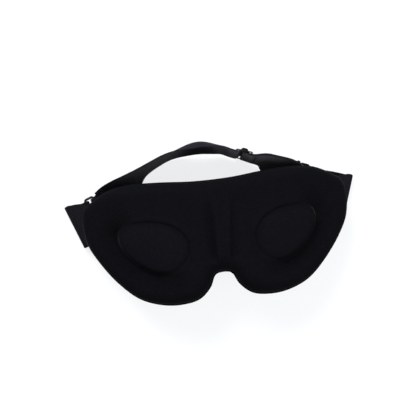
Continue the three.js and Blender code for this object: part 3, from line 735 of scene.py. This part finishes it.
def bar_loop(half_x, half_y):
    """Centre line of a rounded rectangle in its own plane."""
    points = []
    for x, y, start in ((1, 1, 0), (-1, 1, 90), (-1, -1, 180), (1, -1, 270)):
        middle = np.array([x * (half_x - RING_CORNER), y * (half_y - RING_CORNER)])
        for angle in np.radians(np.linspace(start, start + 90, 12)):
            points.append(middle + RING_CORNER * np.array([math.cos(angle), math.sin(angle)]))
    return np.array(points)


def rounded_section(width, thickness):
    """A bar's cross-section: nearly a rectangle, with soft corners."""
    angle = np.linspace(0, 2 * math.pi, 16, endpoint=False)
    c, s = (np.sign(value) * np.abs(value) ** 0.6 for value in (np.cos(angle), np.sin(angle)))
    return np.stack([c * width / 2, s * thickness / 2], axis=1)


def swept_bar(path, section, closed, place):
    """Points and faces of a bar swept along a flat path; place turns plane coordinates into points."""
    if closed:
        tangents = np.roll(path, -1, axis=0) - np.roll(path, 1, axis=0)
    else:
        tangents = np.gradient(path, axis=0)
    points = []
    for middle, tangent in zip(path, tangents):
        t = unit(tangent)
        side = np.array([t[1], -t[0]])
        points += [place((*(middle + side * a), b)) for a, b in section]
    return points, tube_faces(0, len(path), len(section), closed)


def plastic_bars(name, half_x, inside, width, thickness, middle_bar, origin, x_axis, y_axis):
    """A moulded plastic loop, with or without a middle bar, as one joined body."""
    z_axis = np.cross(x_axis, y_axis)
    section = rounded_section(width, thickness)

    def place(p):
        return origin + x_axis * p[0] + y_axis * p[1] + z_axis * p[2]

    reach = (inside + width) / 2
    loop = insert_long_sides(bar_loop(half_x, reach))
    obj = facing_outwards(add_mesh(name, *swept_bar(loop, section, True, place)))
    if middle_bar:
        line = np.stack([np.zeros(30), np.linspace(-reach, reach, 30)], axis=1)
        slimmer = rounded_section(width * 0.94, thickness * 0.94)
        join(obj, facing_outwards(add_mesh(name + "_bar", *swept_bar(line, slimmer, False, place))))
    return obj


def insert_long_sides(loop):
    """Adds points on the straight stretches of a closed path, so that the mesh has even faces."""
    points = []
    for a, b in zip(loop, np.roll(loop, -1, axis=0)):
        steps = max(1, int(np.linalg.norm(b - a) / 1.5))
        points += [mix(a, b, k / steps) for k in range(steps)]
    return np.array(points)


def join(obj, other):
    """Cuts other into obj as one closed body."""
    union = obj.modifiers.new("union", "BOOLEAN")
    union.operation = "UNION"
    union.solver = "EXACT"
    union.object = other
    graph = bpy.context.evaluated_depsgraph_get()
    mesh = bpy.data.meshes.new_from_object(obj.evaluated_get(graph))
    obj.modifiers.clear()
    obj.data = mesh
    mesh.shade_smooth()
    mesh.set_sharp_from_angle(angle=math.radians(SHARP))
    bpy.data.objects.remove(other)


# ------------ strap


def strap_line():
    """The strap's middle surface: samples of place and lean, and their distance from the right ring."""
    ends = []
    for ring in (RINGS["right"], RINGS["left"]):
        middle, _, inboard, _ = ring_frame(ring)
        ends.append((*(middle + inboard * RING_PITCH / 2), ring[4]))
    curve = catmull([ends[0], *STRAP_PATH, ends[1]], False, 60)
    length = np.concatenate([[0], np.cumsum(np.linalg.norm(np.diff(curve[:, :3], axis=0), axis=1))])
    return curve, length


STRAP_CURVE, STRAP_DISTANCE = strap_line()
STRAP_LENGTH = STRAP_DISTANCE[-1]


def strap_values(distance):
    distance = min(max(distance, 0), STRAP_LENGTH)
    return np.array([np.interp(distance, STRAP_DISTANCE, STRAP_CURVE[:, k]) for k in range(4)])


def strap_frame(distance):
    """Place, direction to the left, width direction and outward normal at a distance along the strap."""
    here = strap_values(distance)
    t = unit(strap_values(distance + 0.8)[:3] - strap_values(distance - 0.8)[:3])
    lean = math.radians(here[3])
    sideways = unit(np.array([t[1], -t[0], 0.0]))
    if sideways[1] < 0:
        sideways = -sideways
    w = sideways * math.sin(lean) + UP * math.cos(lean)
    right = distance < STRAP_LENGTH / 2
    _, bar, inboard, _ = ring_frame(RINGS["right" if right else "left"])
    share = 1 - smooth(RING_GRIP, RING_BLEND, min(distance, STRAP_LENGTH - distance))
    t = unit(mix(t, inboard * (1 if right else -1), share))
    w = mix(w, bar, share)
    w = unit(w - t * (w @ t))
    return here[:3], t, w, unit(np.cross(t, w))


SLIDER_AT = float(np.interp(-SLIDER_AT_X, -STRAP_CURVE[:, 0], STRAP_DISTANCE))


def ring_spread(distance):
    """Extra distance of a layer from the middle surface beside a ring, where it opens round the bar."""
    from_end = min(distance, STRAP_LENGTH - distance)
    return (STRAP_LOOP_RADIUS - LAYER_OFFSET) * (1 - smooth(RING_GRIP, RING_SPREAD, from_end))


def slider_dip(distance):
    """How far the strap has moved inwards to pass under the slider's outer bars, from 0 to 1."""
    start = SLIDER_PITCH + SLIDER_BAR
    return 1 - smooth(start, start + SLIDER_EASE, abs(distance - SLIDER_AT))


def outer_offset(distance):
    """The outer layer goes under the slider's outer bars and over its middle bar."""
    hump = 1 - smooth(1.5, SLIDER_PITCH - 1.4, abs(distance - SLIDER_AT))
    usual = mix(LAYER_OFFSET, -SLIDER_SINK - UNDER_BAR, slider_dip(distance)) + ring_spread(distance)
    return usual + (OVER_LOOP + UNDER_BAR) * hump


def inner_offset(distance):
    lowest = -SLIDER_SINK - UNDER_BAR - STRAP_THICKNESS - SLIDER_CLEARANCE
    return mix(-LAYER_OFFSET, lowest, slider_dip(distance)) - ring_spread(distance)


def return_offset(distance):
    """The right-hand inner layer also rises to pass round the slider's middle bar."""
    rise = smooth(SLIDER_AT - SLIDER_PITCH, SLIDER_AT, distance)
    return mix(inner_offset(distance), -SLIDER_SINK - SLIDER_LOOP_RADIUS, rise)


def strap_crest(distance):
    """How strongly the strap is cupped, from 0 away from its crest to 1 on it."""
    return 1 - smooth(0, CUP_REACH, abs(strap_values(distance)[0] - CUP_AT_X))


def strap_cup(distance):
    return max(CUP_CURVATURE * strap_crest(distance), NEARLY_FLAT)


def crest_offset(distance):
    return outer_offset(distance) + CUP_PUSH * strap_crest(distance)


def strap_run(start, end, offset, sign, step=1.0):
    """Stations from start to end along the strap at an offset from its middle surface."""
    count = max(2, int(abs(end - start) / step) + 1)
    stations = []
    for distance in np.linspace(start, end, count):
        place, _, w, n = strap_frame(distance)
        stations.append((place + n * offset(distance), w, n * sign, STRAP_WIDTH, distance))
    return stations


def strap_turn(distance, outwards, from_sign):
    """Stations of the half turn round a ring's bar at one end of the strap."""
    place, t, w, n = strap_frame(distance)
    stations = []
    for angle in np.linspace(0, math.pi, TURN_STEPS)[1:-1]:
        radial = n * from_sign * math.cos(angle) + t * outwards * math.sin(angle)
        at = place + radial * STRAP_LOOP_RADIUS
        stations.append((at, w, radial, STRAP_WIDTH, distance + 5 * angle))
    return stations


def slider_loop():
    """The strap's end wraps the slider's middle bar: up its left side and over its top."""
    place, t, w, n = strap_frame(SLIDER_AT)
    stations = []
    for angle in np.radians(np.linspace(240, 12, 20)):
        radial = -n * math.cos(angle) + t * math.sin(angle)
        at = place - n * SLIDER_SINK + radial * SLIDER_LOOP_RADIUS
        stations.append((at, w, radial, STRAP_WIDTH, SLIDER_AT + 3 * angle))
    return stations


# ------------ stitching


def stitch_mesh(name, stitches, radius):
    """Short rounded threads: each stitch is a middle, a half length vector and a normal."""
    rings = [(-1.0, 0.35), (-0.8, 0.85), (-0.3, 1.0), (0.3, 1.0), (0.8, 0.85), (1.0, 0.35)]
    sides = 8
    points, faces, uv = [], [], []
    for middle, half, n in stitches:
        side = unit(np.cross(half, n))
        base = len(points)
        for along, size in rings:
            arc = 0.35 * radius * (1 - along ** 2)
            for k in range(sides):
                angle = 2 * math.pi * k / sides
                points.append(middle + half * along + n * (arc + radius * size * math.sin(angle))
                              + side * radius * size * math.cos(angle))
                uv.append((along * np.linalg.norm(half), angle))
        faces += tube_faces(base, len(rings), sides)
    return facing_outwards(add_mesh(name, points, faces, uv))


def zigzag(place, along, across, n, width):
    """A dense zigzag tack across a strap."""
    count = int(TACK_LENGTH / TACK_PITCH)
    stitches = []
    for k in range(count):
        middle = place + along * ((k + 0.5) / count - 0.5) * TACK_LENGTH
        half = across * width / 2 * (1 if k % 2 else -1) + along * TACK_PITCH * 0.42
        stitches.append((middle, half, n))
    return stitches


def running_row(place, along, n, length):
    count = int(length / (STITCH + STITCH_GAP))
    middles = [place + along * ((k + 0.5) / count - 0.5) * length for k in range(count)]
    return [(middle, along * STITCH / 2, n) for middle in middles]


# ------------ materials


class Nodes:
    """A material's node tree with short ways to add and join nodes."""

    def __init__(self, name):
        self.material = bpy.data.materials.new(name)
        self.material.use_nodes = True
        self.tree = self.material.node_tree
        self.shader = self.tree.nodes["Principled BSDF"]

    def feed(self, socket, value):
        """Joins a socket to another one, or sets its value."""
        if isinstance(value, bpy.types.NodeSocket):
            self.tree.links.new(value, socket)
        else:
            socket.default_value = value

    def add(self, kind, inputs=None, **settings):
        node = self.tree.nodes.new("ShaderNode" + kind)
        for key, value in settings.items():
            setattr(node, key, value)
        for key, value in (inputs or {}).items():
            self.feed(node.inputs[key], value)
        return node

    def place(self):
        """Object coordinates in millimetres."""
        inputs = {0: self.add("TexCoord").outputs["Object"], 1: (1 / MM, 1 / MM, 1 / MM)}
        return self.add("VectorMath", inputs, operation="MULTIPLY").outputs["Vector"]

    def layout(self):
        """The piece's own flat coordinates in millimetres."""
        return self.add("UVMap", uv_map="layout").outputs["UV"]

    def noise(self, vector, scale, detail=2.0):
        return self.add("TexNoise", {"Vector": vector, "Scale": scale, "Detail": detail}).outputs["Fac"]

    def cells(self, vector, scale):
        return self.add("TexVoronoi", {"Vector": vector, "Scale": scale}).outputs["Distance"]

    def wave(self, vector, scale, distortion, direction):
        inputs = {"Vector": vector, "Scale": scale, "Distortion": distortion, "Detail": 1.0}
        return self.add("TexWave", inputs, bands_direction=direction).outputs["Fac"]

    def math(self, operation, a, b=0.0):
        return self.add("Math", {0: a, 1: b}, operation=operation).outputs[0]

    def spread(self, value, low, high, to_low=0.0, to_high=1.0):
        inputs = {"Value": value, "From Min": low, "From Max": high, "To Min": to_low, "To Max": to_high}
        return self.add("MapRange", inputs).outputs["Result"]

    def varied(self, noise_value, low, high):
        """A noise's usual range of values turned into low to high."""
        return self.spread(noise_value, 0.3, 0.7, low, high)

    def blend_colour(self, share, first, second):
        """A mix of a first colour or socket and a second colour."""
        if not isinstance(first, bpy.types.NodeSocket):
            first = (*first, 1)
        inputs = {"Factor": share, 6: first, 7: (*second, 1)}
        return self.add("Mix", inputs, data_type="RGBA").outputs[2]

    def bump(self, height, distance, strength=1.0, normal=None):
        inputs = {"Height": height, "Distance": distance * MM, "Strength": strength}
        if normal is not None:
            inputs["Normal"] = normal
        return self.add("Bump", inputs).outputs["Normal"]

    def finish(self, **inputs):
        for key, value in inputs.items():
            self.feed(self.shader.inputs[key.replace("_", " ")], value)
        return self.material


LINT_TONE = (0.02, 0.02, 0.022)
FOAM_DARK, FOAM_LIGHT = (0.02, 0.02, 0.022), (0.05, 0.05, 0.053)
ELASTIC_FRESH, ELASTIC_WORN = (0.0042, 0.0040, 0.0060), (0.0060, 0.0057, 0.0085)
ELASTIC_WEFT, ELASTIC_EDGE = (0.012, 0.0114, 0.0165), (0.013, 0.0124, 0.0175)
PLASTIC_TONE = (0.006, 0.006, 0.0065)
THREAD_DARK, THREAD_LIGHT = (0.004, 0.004, 0.005), (0.008, 0.008, 0.0095)


def knit_material(name, tone, sheen, tint):
    """Fine brushed knit: rows of tiny loops under a short nap, with a few specks of lint and the painted
    light and shade stored on the mesh.
    """
    nodes = Nodes(name)
    flat = nodes.layout()
    place = nodes.place()
    loops = nodes.wave(flat, 0.55, 1.2, "X")
    rows = nodes.wave(flat, 0.42, 0.8, "Y")
    fuzz = nodes.noise(place, 1.6, 4.0)
    tufts = nodes.noise(place, 0.45, 3.0)
    patches = nodes.noise(place, 0.05, 3.0)
    weave = nodes.math("MULTIPLY", loops, rows)
    # painted light and shade from the mesh's attribute, added to the colour's level
    raised = nodes.add("Attribute", attribute_name="painted_light_and_shade").outputs["Fac"]
    level = nodes.math("ADD", nodes.varied(patches, 0.94, 1.06), raised)
    level = nodes.math("ADD", level, nodes.varied(tufts, -0.14, 0.14))
    level = nodes.math("ADD", level, nodes.varied(fuzz, -0.16, 0.16))
    level = nodes.math("MAXIMUM", level, 0.3)
    colour = nodes.add("VectorMath", {0: tone, "Scale": level}, operation="SCALE")
    lint = nodes.spread(nodes.cells(place, 0.11), 0.04, 0.025)
    lint = nodes.math("MULTIPLY", lint, nodes.spread(nodes.noise(place, 0.13, 1.0), 0.56, 0.6))
    colour = nodes.blend_colour(lint, colour.outputs["Vector"], LINT_TONE)
    normal = nodes.bump(weave, 0.12, 0.5)
    normal = nodes.bump(fuzz, 0.25, 0.55, normal)
    normal = nodes.bump(tufts, 0.3, 0.35, normal)
    return nodes.finish(Base_Color=colour, Roughness=nodes.varied(fuzz, 0.85, 1.0), Normal=normal,
                        Specular_IOR_Level=0.03, Sheen_Weight=sheen, Sheen_Roughness=0.28,
                        Sheen_Tint=(*tint, 1))


def foam_material():
    """Dark open-cell foam."""
    nodes = Nodes("foam")
    pores = nodes.spread(nodes.cells(nodes.place(), 1.5), 0.1, 0.6)
    colour = nodes.blend_colour(pores, FOAM_DARK, FOAM_LIGHT)
    return nodes.finish(Base_Color=colour, Roughness=0.95, Normal=nodes.bump(pores, 0.5, 0.8),
                        Specular_IOR_Level=0.2)


def elastic_material():
    """Woven elastic: fine ribs along the band, crossed by weft threads, with a denser edge."""
    nodes = Nodes("woven_elastic")
    flat = nodes.layout()
    place = nodes.place()
    ribs = nodes.wave(flat, 0.28, 0.25, "Y")
    weft = nodes.wave(flat, 0.36, 0.3, "X")
    from_middle = nodes.math("PINGPONG", nodes.add("SeparateXYZ", {0: flat}).outputs["Y"], UNDERSIDE / 2)
    edge = nodes.spread(from_middle, STRAP_WIDTH / 2 - 2.4, STRAP_WIDTH / 2 - 1.8)
    wear = nodes.spread(nodes.noise(place, 0.09, 3.0), 0.35, 0.65)
    colour = nodes.blend_colour(wear, ELASTIC_FRESH, ELASTIC_WORN)
    colour = nodes.blend_colour(nodes.math("MULTIPLY", weft, 0.4), colour, ELASTIC_WEFT)
    colour = nodes.blend_colour(nodes.math("MULTIPLY", edge, 0.4), colour, ELASTIC_EDGE)
    normal = nodes.bump(ribs, 0.22, 0.7)
    normal = nodes.bump(weft, 0.12, 0.6, normal)
    normal = nodes.bump(nodes.noise(place, 2.0, 3.0), 0.1, 0.4, normal)
    return nodes.finish(Base_Color=colour, Roughness=0.8, Normal=normal, Specular_IOR_Level=0.05,
                        Sheen_Weight=0.12, Sheen_Roughness=0.3, Sheen_Tint=(0.88, 0.86, 1.0, 1))


def plastic_material():
    """Satin moulded plastic with faint flow marks and handling scratches."""
    nodes = Nodes("black_plastic")
    place = nodes.place()
    drawn_out = nodes.add("VectorMath", {0: place, 1: (0.3, 4.0, 1.0)}, operation="MULTIPLY")
    scratches = nodes.noise(drawn_out.outputs[0], 1.5, 3.0)
    flow = nodes.varied(nodes.noise(place, 0.25, 2.0), 0.3, 0.4)
    rough = nodes.math("ADD", flow, nodes.spread(scratches, 0.55, 0.75, 0, 0.15))
    return nodes.finish(Base_Color=(*PLASTIC_TONE, 1), Roughness=rough,
                        Normal=nodes.bump(scratches, 0.02, 0.3), Specular_IOR_Level=0.2)


def thread_material():
    """Twisted polyester sewing thread."""
    nodes = Nodes("sewing_thread")
    twist = nodes.wave(nodes.layout(), 0.9, 0.0, "DIAGONAL")
    colour = nodes.blend_colour(twist, THREAD_DARK, THREAD_LIGHT)
    return nodes.finish(Base_Color=colour, Roughness=0.6, Normal=nodes.bump(twist, 0.12, 0.8),
                        Specular_IOR_Level=0.15, Sheen_Weight=0.1)


OUTER_KNIT = knit_material("brushed_knit", (0.0026, 0.0027, 0.0038), 0.039, (0.86, 0.9, 1.0))
WING_KNIT = knit_material("wing_knit", (0.0069, 0.0068, 0.0091), 0.1, (0.88, 0.9, 1.0))
LINING_KNIT = knit_material("smooth_knit", (0.0040, 0.0041, 0.0052), 0.05, (0.9, 0.92, 1.0))
FOAM = foam_material()
ELASTIC = elastic_material()
PLASTIC = plastic_material()
THREAD = thread_material()

# ------------ pieces


def build_body():
    """The padded body: outer skin, foam, eye cups, nose pad and lining, all on the mask."""
    eggs = {"left": EGGS[-1], "right": EGGS[1]}
    pad = pad_outline(150)
    finish(front_cover(), OUTER_KNIT, "front_cover", "mask")
    finish(face_lining(), LINING_KNIT, "face_lining", "mask")
    core_outline = grown(body_outline(400), -FOAM_INSET)
    # The cups are slimmer than their eggs by the gap, but the pad has its full size.
    holes = [grown(loop, FOAM_GAP) for loop in (*eggs.values(), grown(pad, FOAM_GAP))]
    core = padding("foam_core_pad", core_outline, holes, 2.4)
    finish(core, FOAM, "foam_core", "mask")
    finish(padding("nose_pad_foam", pad, [], 1.8), FOAM, "nose_pad", "mask")
    for side, egg in eggs.items():
        cup = padding(f"{side}_eye_cup_foam", grown(egg, -FOAM_GAP), [], 1.8)
        finish(cup, FOAM, f"{side}_eye_cup", "mask")


def build_wing(name, ring):
    """One side's wing with its seam at the lining and the tack behind the ring."""
    stations = wing_stations(ring)
    wing = ribbon(f"{name}_wing_tab", [stations], WING_THICKNESS, 30)
    finish(wing, WING_KNIT, f"{name}_wing", "mask")
    place, w, n, width, _ = stations[1]
    along = unit(stations[2][0] - place)
    surface = place - n * (WING_THICKNESS / 2 + THREAD_LIFT)
    rows = []
    for back in (1.6, 4.0):
        rows += running_row(surface + along * back, w, -n, width - 3)
    seam = stitch_mesh(f"{name}_wing_seam_thread", rows, 0.26)
    finish(seam, THREAD, f"{name}_wing_seam", "mask")
    middle, bar, inboard, normal = ring_frame(ring)
    place = middle - inboard * (RING_PITCH / 2 + TAIL / 2)
    place = place + normal * (WING_LOOP_RADIUS + WING_THICKNESS / 2 + THREAD_LIFT)
    tack = stitch_mesh(f"{name}_wing_bartack_thread", zigzag(place, bar, inboard, normal, 1.7), 0.2)
    finish(tack, THREAD, f"{name}_wing_bartack", "mask")


def build_ring(name, ring):
    middle, bar, inboard, _ = ring_frame(ring)
    loop = plastic_bars(f"{name}_ring_loop", RING_PITCH / 2, RING_INSIDE, BAR, BAR, False, middle,
                        inboard, bar)
    finish(loop, PLASTIC, f"{name}_ring", f"{name}_ring")


def build_slider():
    place, t, w, n = strap_frame(SLIDER_AT)
    loop = plastic_bars("slider_frame", SLIDER_PITCH, SLIDER_INSIDE, SLIDER_BAR, SLIDER_THICKNESS, True,
                        place - n * SLIDER_SINK, t, w)
    finish(loop, PLASTIC, "slider", "slider")


RING_HOLD = 9.0            # distance from each ring passed to bend, which only bakes the piece's transform
RIGHT_TWIST_END = 30.0     # the right end piece ends here, and the left end piece starts at the next value
LEFT_TWIST_START = STRAP_LENGTH - 42.0
SLIDER_HOLD = SLIDER_PITCH + 3.0     # distance each way from the slider passed to bend, which only bakes the piece's transform ...
SLIDER_ZONE_END = SLIDER_AT + 52.0   # ... and here the piece left of the slider ends and the middle piece starts, clear of the slider's dip


def bend(obj, start, end):
    """Bakes the piece's transform into its mesh; the strap's places at start and end are worked out but
    not used.
    """
    places = [tuple(in_frame(strap_frame(distance)[0])) for distance in (start, end)]
    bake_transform(obj)


def bend_at_left_ring(obj):
    bend(obj, STRAP_LENGTH - RING_HOLD, LEFT_TWIST_START)


def strap_ribbon(name, *runs, cup=no_cup):
    band = ribbon(name, runs, STRAP_THICKNESS, bead=STRAP_BEAD, cup=cup)
    return dress(band, ELASTIC)


def build_strap():
    """The strap in five stretches; only the middle one rides on the strap's body."""
    right = strap_ribbon(
        "strap_right_end",
        strap_run(RIGHT_TWIST_END, 0.0, return_offset, -1) + strap_turn(0, -1, -1)
        + strap_run(0.0, RIGHT_TWIST_END, outer_offset, 1))
    to_slider = strap_ribbon(
        "strap_right_of_slider",
        slider_loop() + strap_run(SLIDER_AT - 2, RIGHT_TWIST_END, return_offset, -1),
        strap_run(RIGHT_TWIST_END, SLIDER_AT, outer_offset, 1, 0.7))
    from_slider = strap_ribbon(
        "strap_left_of_slider",
        strap_run(SLIDER_AT, SLIDER_ZONE_END, crest_offset, 1, 0.7), cup=strap_cup)
    middle = strap_ribbon(
        "strap_middle",
        strap_run(SLIDER_ZONE_END, LEFT_TWIST_START, crest_offset, 1), cup=strap_cup)
    left = strap_ribbon(
        "strap_left_end",
        strap_run(LEFT_TWIST_START, STRAP_LENGTH, outer_offset, 1) + strap_turn(STRAP_LENGTH, 1, 1)
        + strap_run(STRAP_LENGTH, STRAP_LENGTH - FOLD_BACK, inner_offset, -1))
    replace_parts(middle, "strap")
    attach(middle, "strap")
    bend(right, RING_HOLD, RIGHT_TWIST_END)
    bend_at_left_ring(left)
    bend(to_slider, RIGHT_TWIST_END, SLIDER_AT - SLIDER_HOLD)
    bend(from_slider, SLIDER_AT + SLIDER_HOLD, SLIDER_ZONE_END)


def strap_tack(node, distance):
    """A tack on the inner face of the strap's inner layer."""
    place, t, w, n = strap_frame(distance)
    surface = place + n * (inner_offset(distance) - STRAP_THICKNESS / 2 - THREAD_LIFT)
    tack = stitch_mesh(f"{node}_thread", zigzag(surface, w, t, -n, 1.8), 0.22)
    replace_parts(dress(tack, THREAD), node)
    return tack


build_body()
for ring_name, ring_values in RINGS.items():
    build_wing(ring_name, ring_values)
    build_ring(ring_name, ring_values)
build_slider()
build_strap()
bend_at_left_ring(strap_tack("strap_end_bartack", STRAP_LENGTH - FOLD_BACK + 2))
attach(strap_tack("slider_bartack", SLIDER_AT - SLIDER_PITCH - 4), "slider")

# ------------ floor, light and camera

SURROUND_LIGHT = 0.42      # strength of the surround as a light; the camera sees it at full strength
LIGHT_SIZE = 0.8           # side of each soft light, in metres
CAMERA_TARGET = (-5.94, 51.93, 39.51)           # a designed point, in millimetres
CAMERA_DISTANCE = 0.6                           # in metres
CAMERA_LEAN_LEFT, CAMERA_LEAN_DOWN = 2.775, 6.0 # in degrees
CAMERA_ROLL = -7.2
CAMERA_LENS = 64.15        # focal length in millimetres on a sensor 36 mm wide


def floor_sheet():
    """A plain pale sheet that lets most of the light through, so that it takes only faint shadows."""
    bpy.ops.mesh.primitive_plane_add(size=6)
    sheet = bpy.context.object
    sheet.name = "floor_sheet"
    nodes = Nodes("pale_floor")
    nodes.finish(Base_Color=(0.92, 0.92, 0.93, 1), Roughness=0.9, Specular_IOR_Level=0.1, Alpha=0.18)
    sheet.data.materials.append(nodes.material)


def soft_light(name, place, target, watts):
    data = bpy.data.lights.new(name, "AREA")
    data.shape = "SQUARE"
    data.size = LIGHT_SIZE
    data.energy = watts
    light = bpy.data.objects.new(name, data)
    light.location = place
    light.rotation_euler = (Vector(target) - Vector(place)).to_track_quat("-Z", "Y").to_euler()
    bpy.context.scene.collection.objects.link(light)


def studio():
    """A white surround, dimmer as a light than to the eye, and two large square lights."""
    world = bpy.data.worlds.new("studio")
    world.use_nodes = True
    tree = world.node_tree
    background = tree.nodes["Background"]
    rays = tree.nodes.new("ShaderNodeLightPath")
    strength = tree.nodes.new("ShaderNodeMapRange")
    strength.inputs["To Min"].default_value = SURROUND_LIGHT
    strength.inputs["To Max"].default_value = 1.0
    tree.links.new(rays.outputs["Is Camera Ray"], strength.inputs["Value"])
    tree.links.new(strength.outputs["Result"], background.inputs["Strength"])
    background.inputs["Color"].default_value = (0.98, 0.99, 1.0, 1)
    bpy.context.scene.world = world
    soft_light("top_light", (-0.45, 1.05, 0.95), (0, 0.02, 0.02), 34.0)
    soft_light("front_light", (0.85, -0.7, 0.9), (0, 0, 0.02), 15.0)


def camera():
    """Nearly straight down, with the mask turned a few degrees in the picture."""
    target = Vector(in_frame(CAMERA_TARGET))
    leans = [math.radians(lean) for lean in (CAMERA_LEAN_LEFT, CAMERA_LEAN_DOWN)]
    back = Vector((-math.sin(leans[0]), -math.sin(leans[1]), 0))
    back.z = math.sqrt(1 - back.length_squared)
    roll = math.radians(CAMERA_ROLL)
    up = (Vector((0, 1, 0)) - back * back.y).normalized()
    right = up.cross(back)
    image_right = right * math.cos(roll) + up * math.sin(roll)
    image_up = up * math.cos(roll) - right * math.sin(roll)
    data = bpy.data.cameras.new("camera")
    data.sensor_width = 36
    data.lens = CAMERA_LENS
    data.clip_start = 0.01
    obj = bpy.data.objects.new("camera", data)
    bpy.context.scene.collection.objects.link(obj)
    obj.location = target + back * CAMERA_DISTANCE
    obj.rotation_mode = "QUATERNION"
    turn = np.array([image_right, image_up, back]).T
    obj.rotation_quaternion = Matrix(turn.tolist()).to_quaternion()
    bpy.context.scene.camera = obj


floor_sheet()
studio()
camera()
bpy.context.scene.view_settings.view_transform = "Standard"
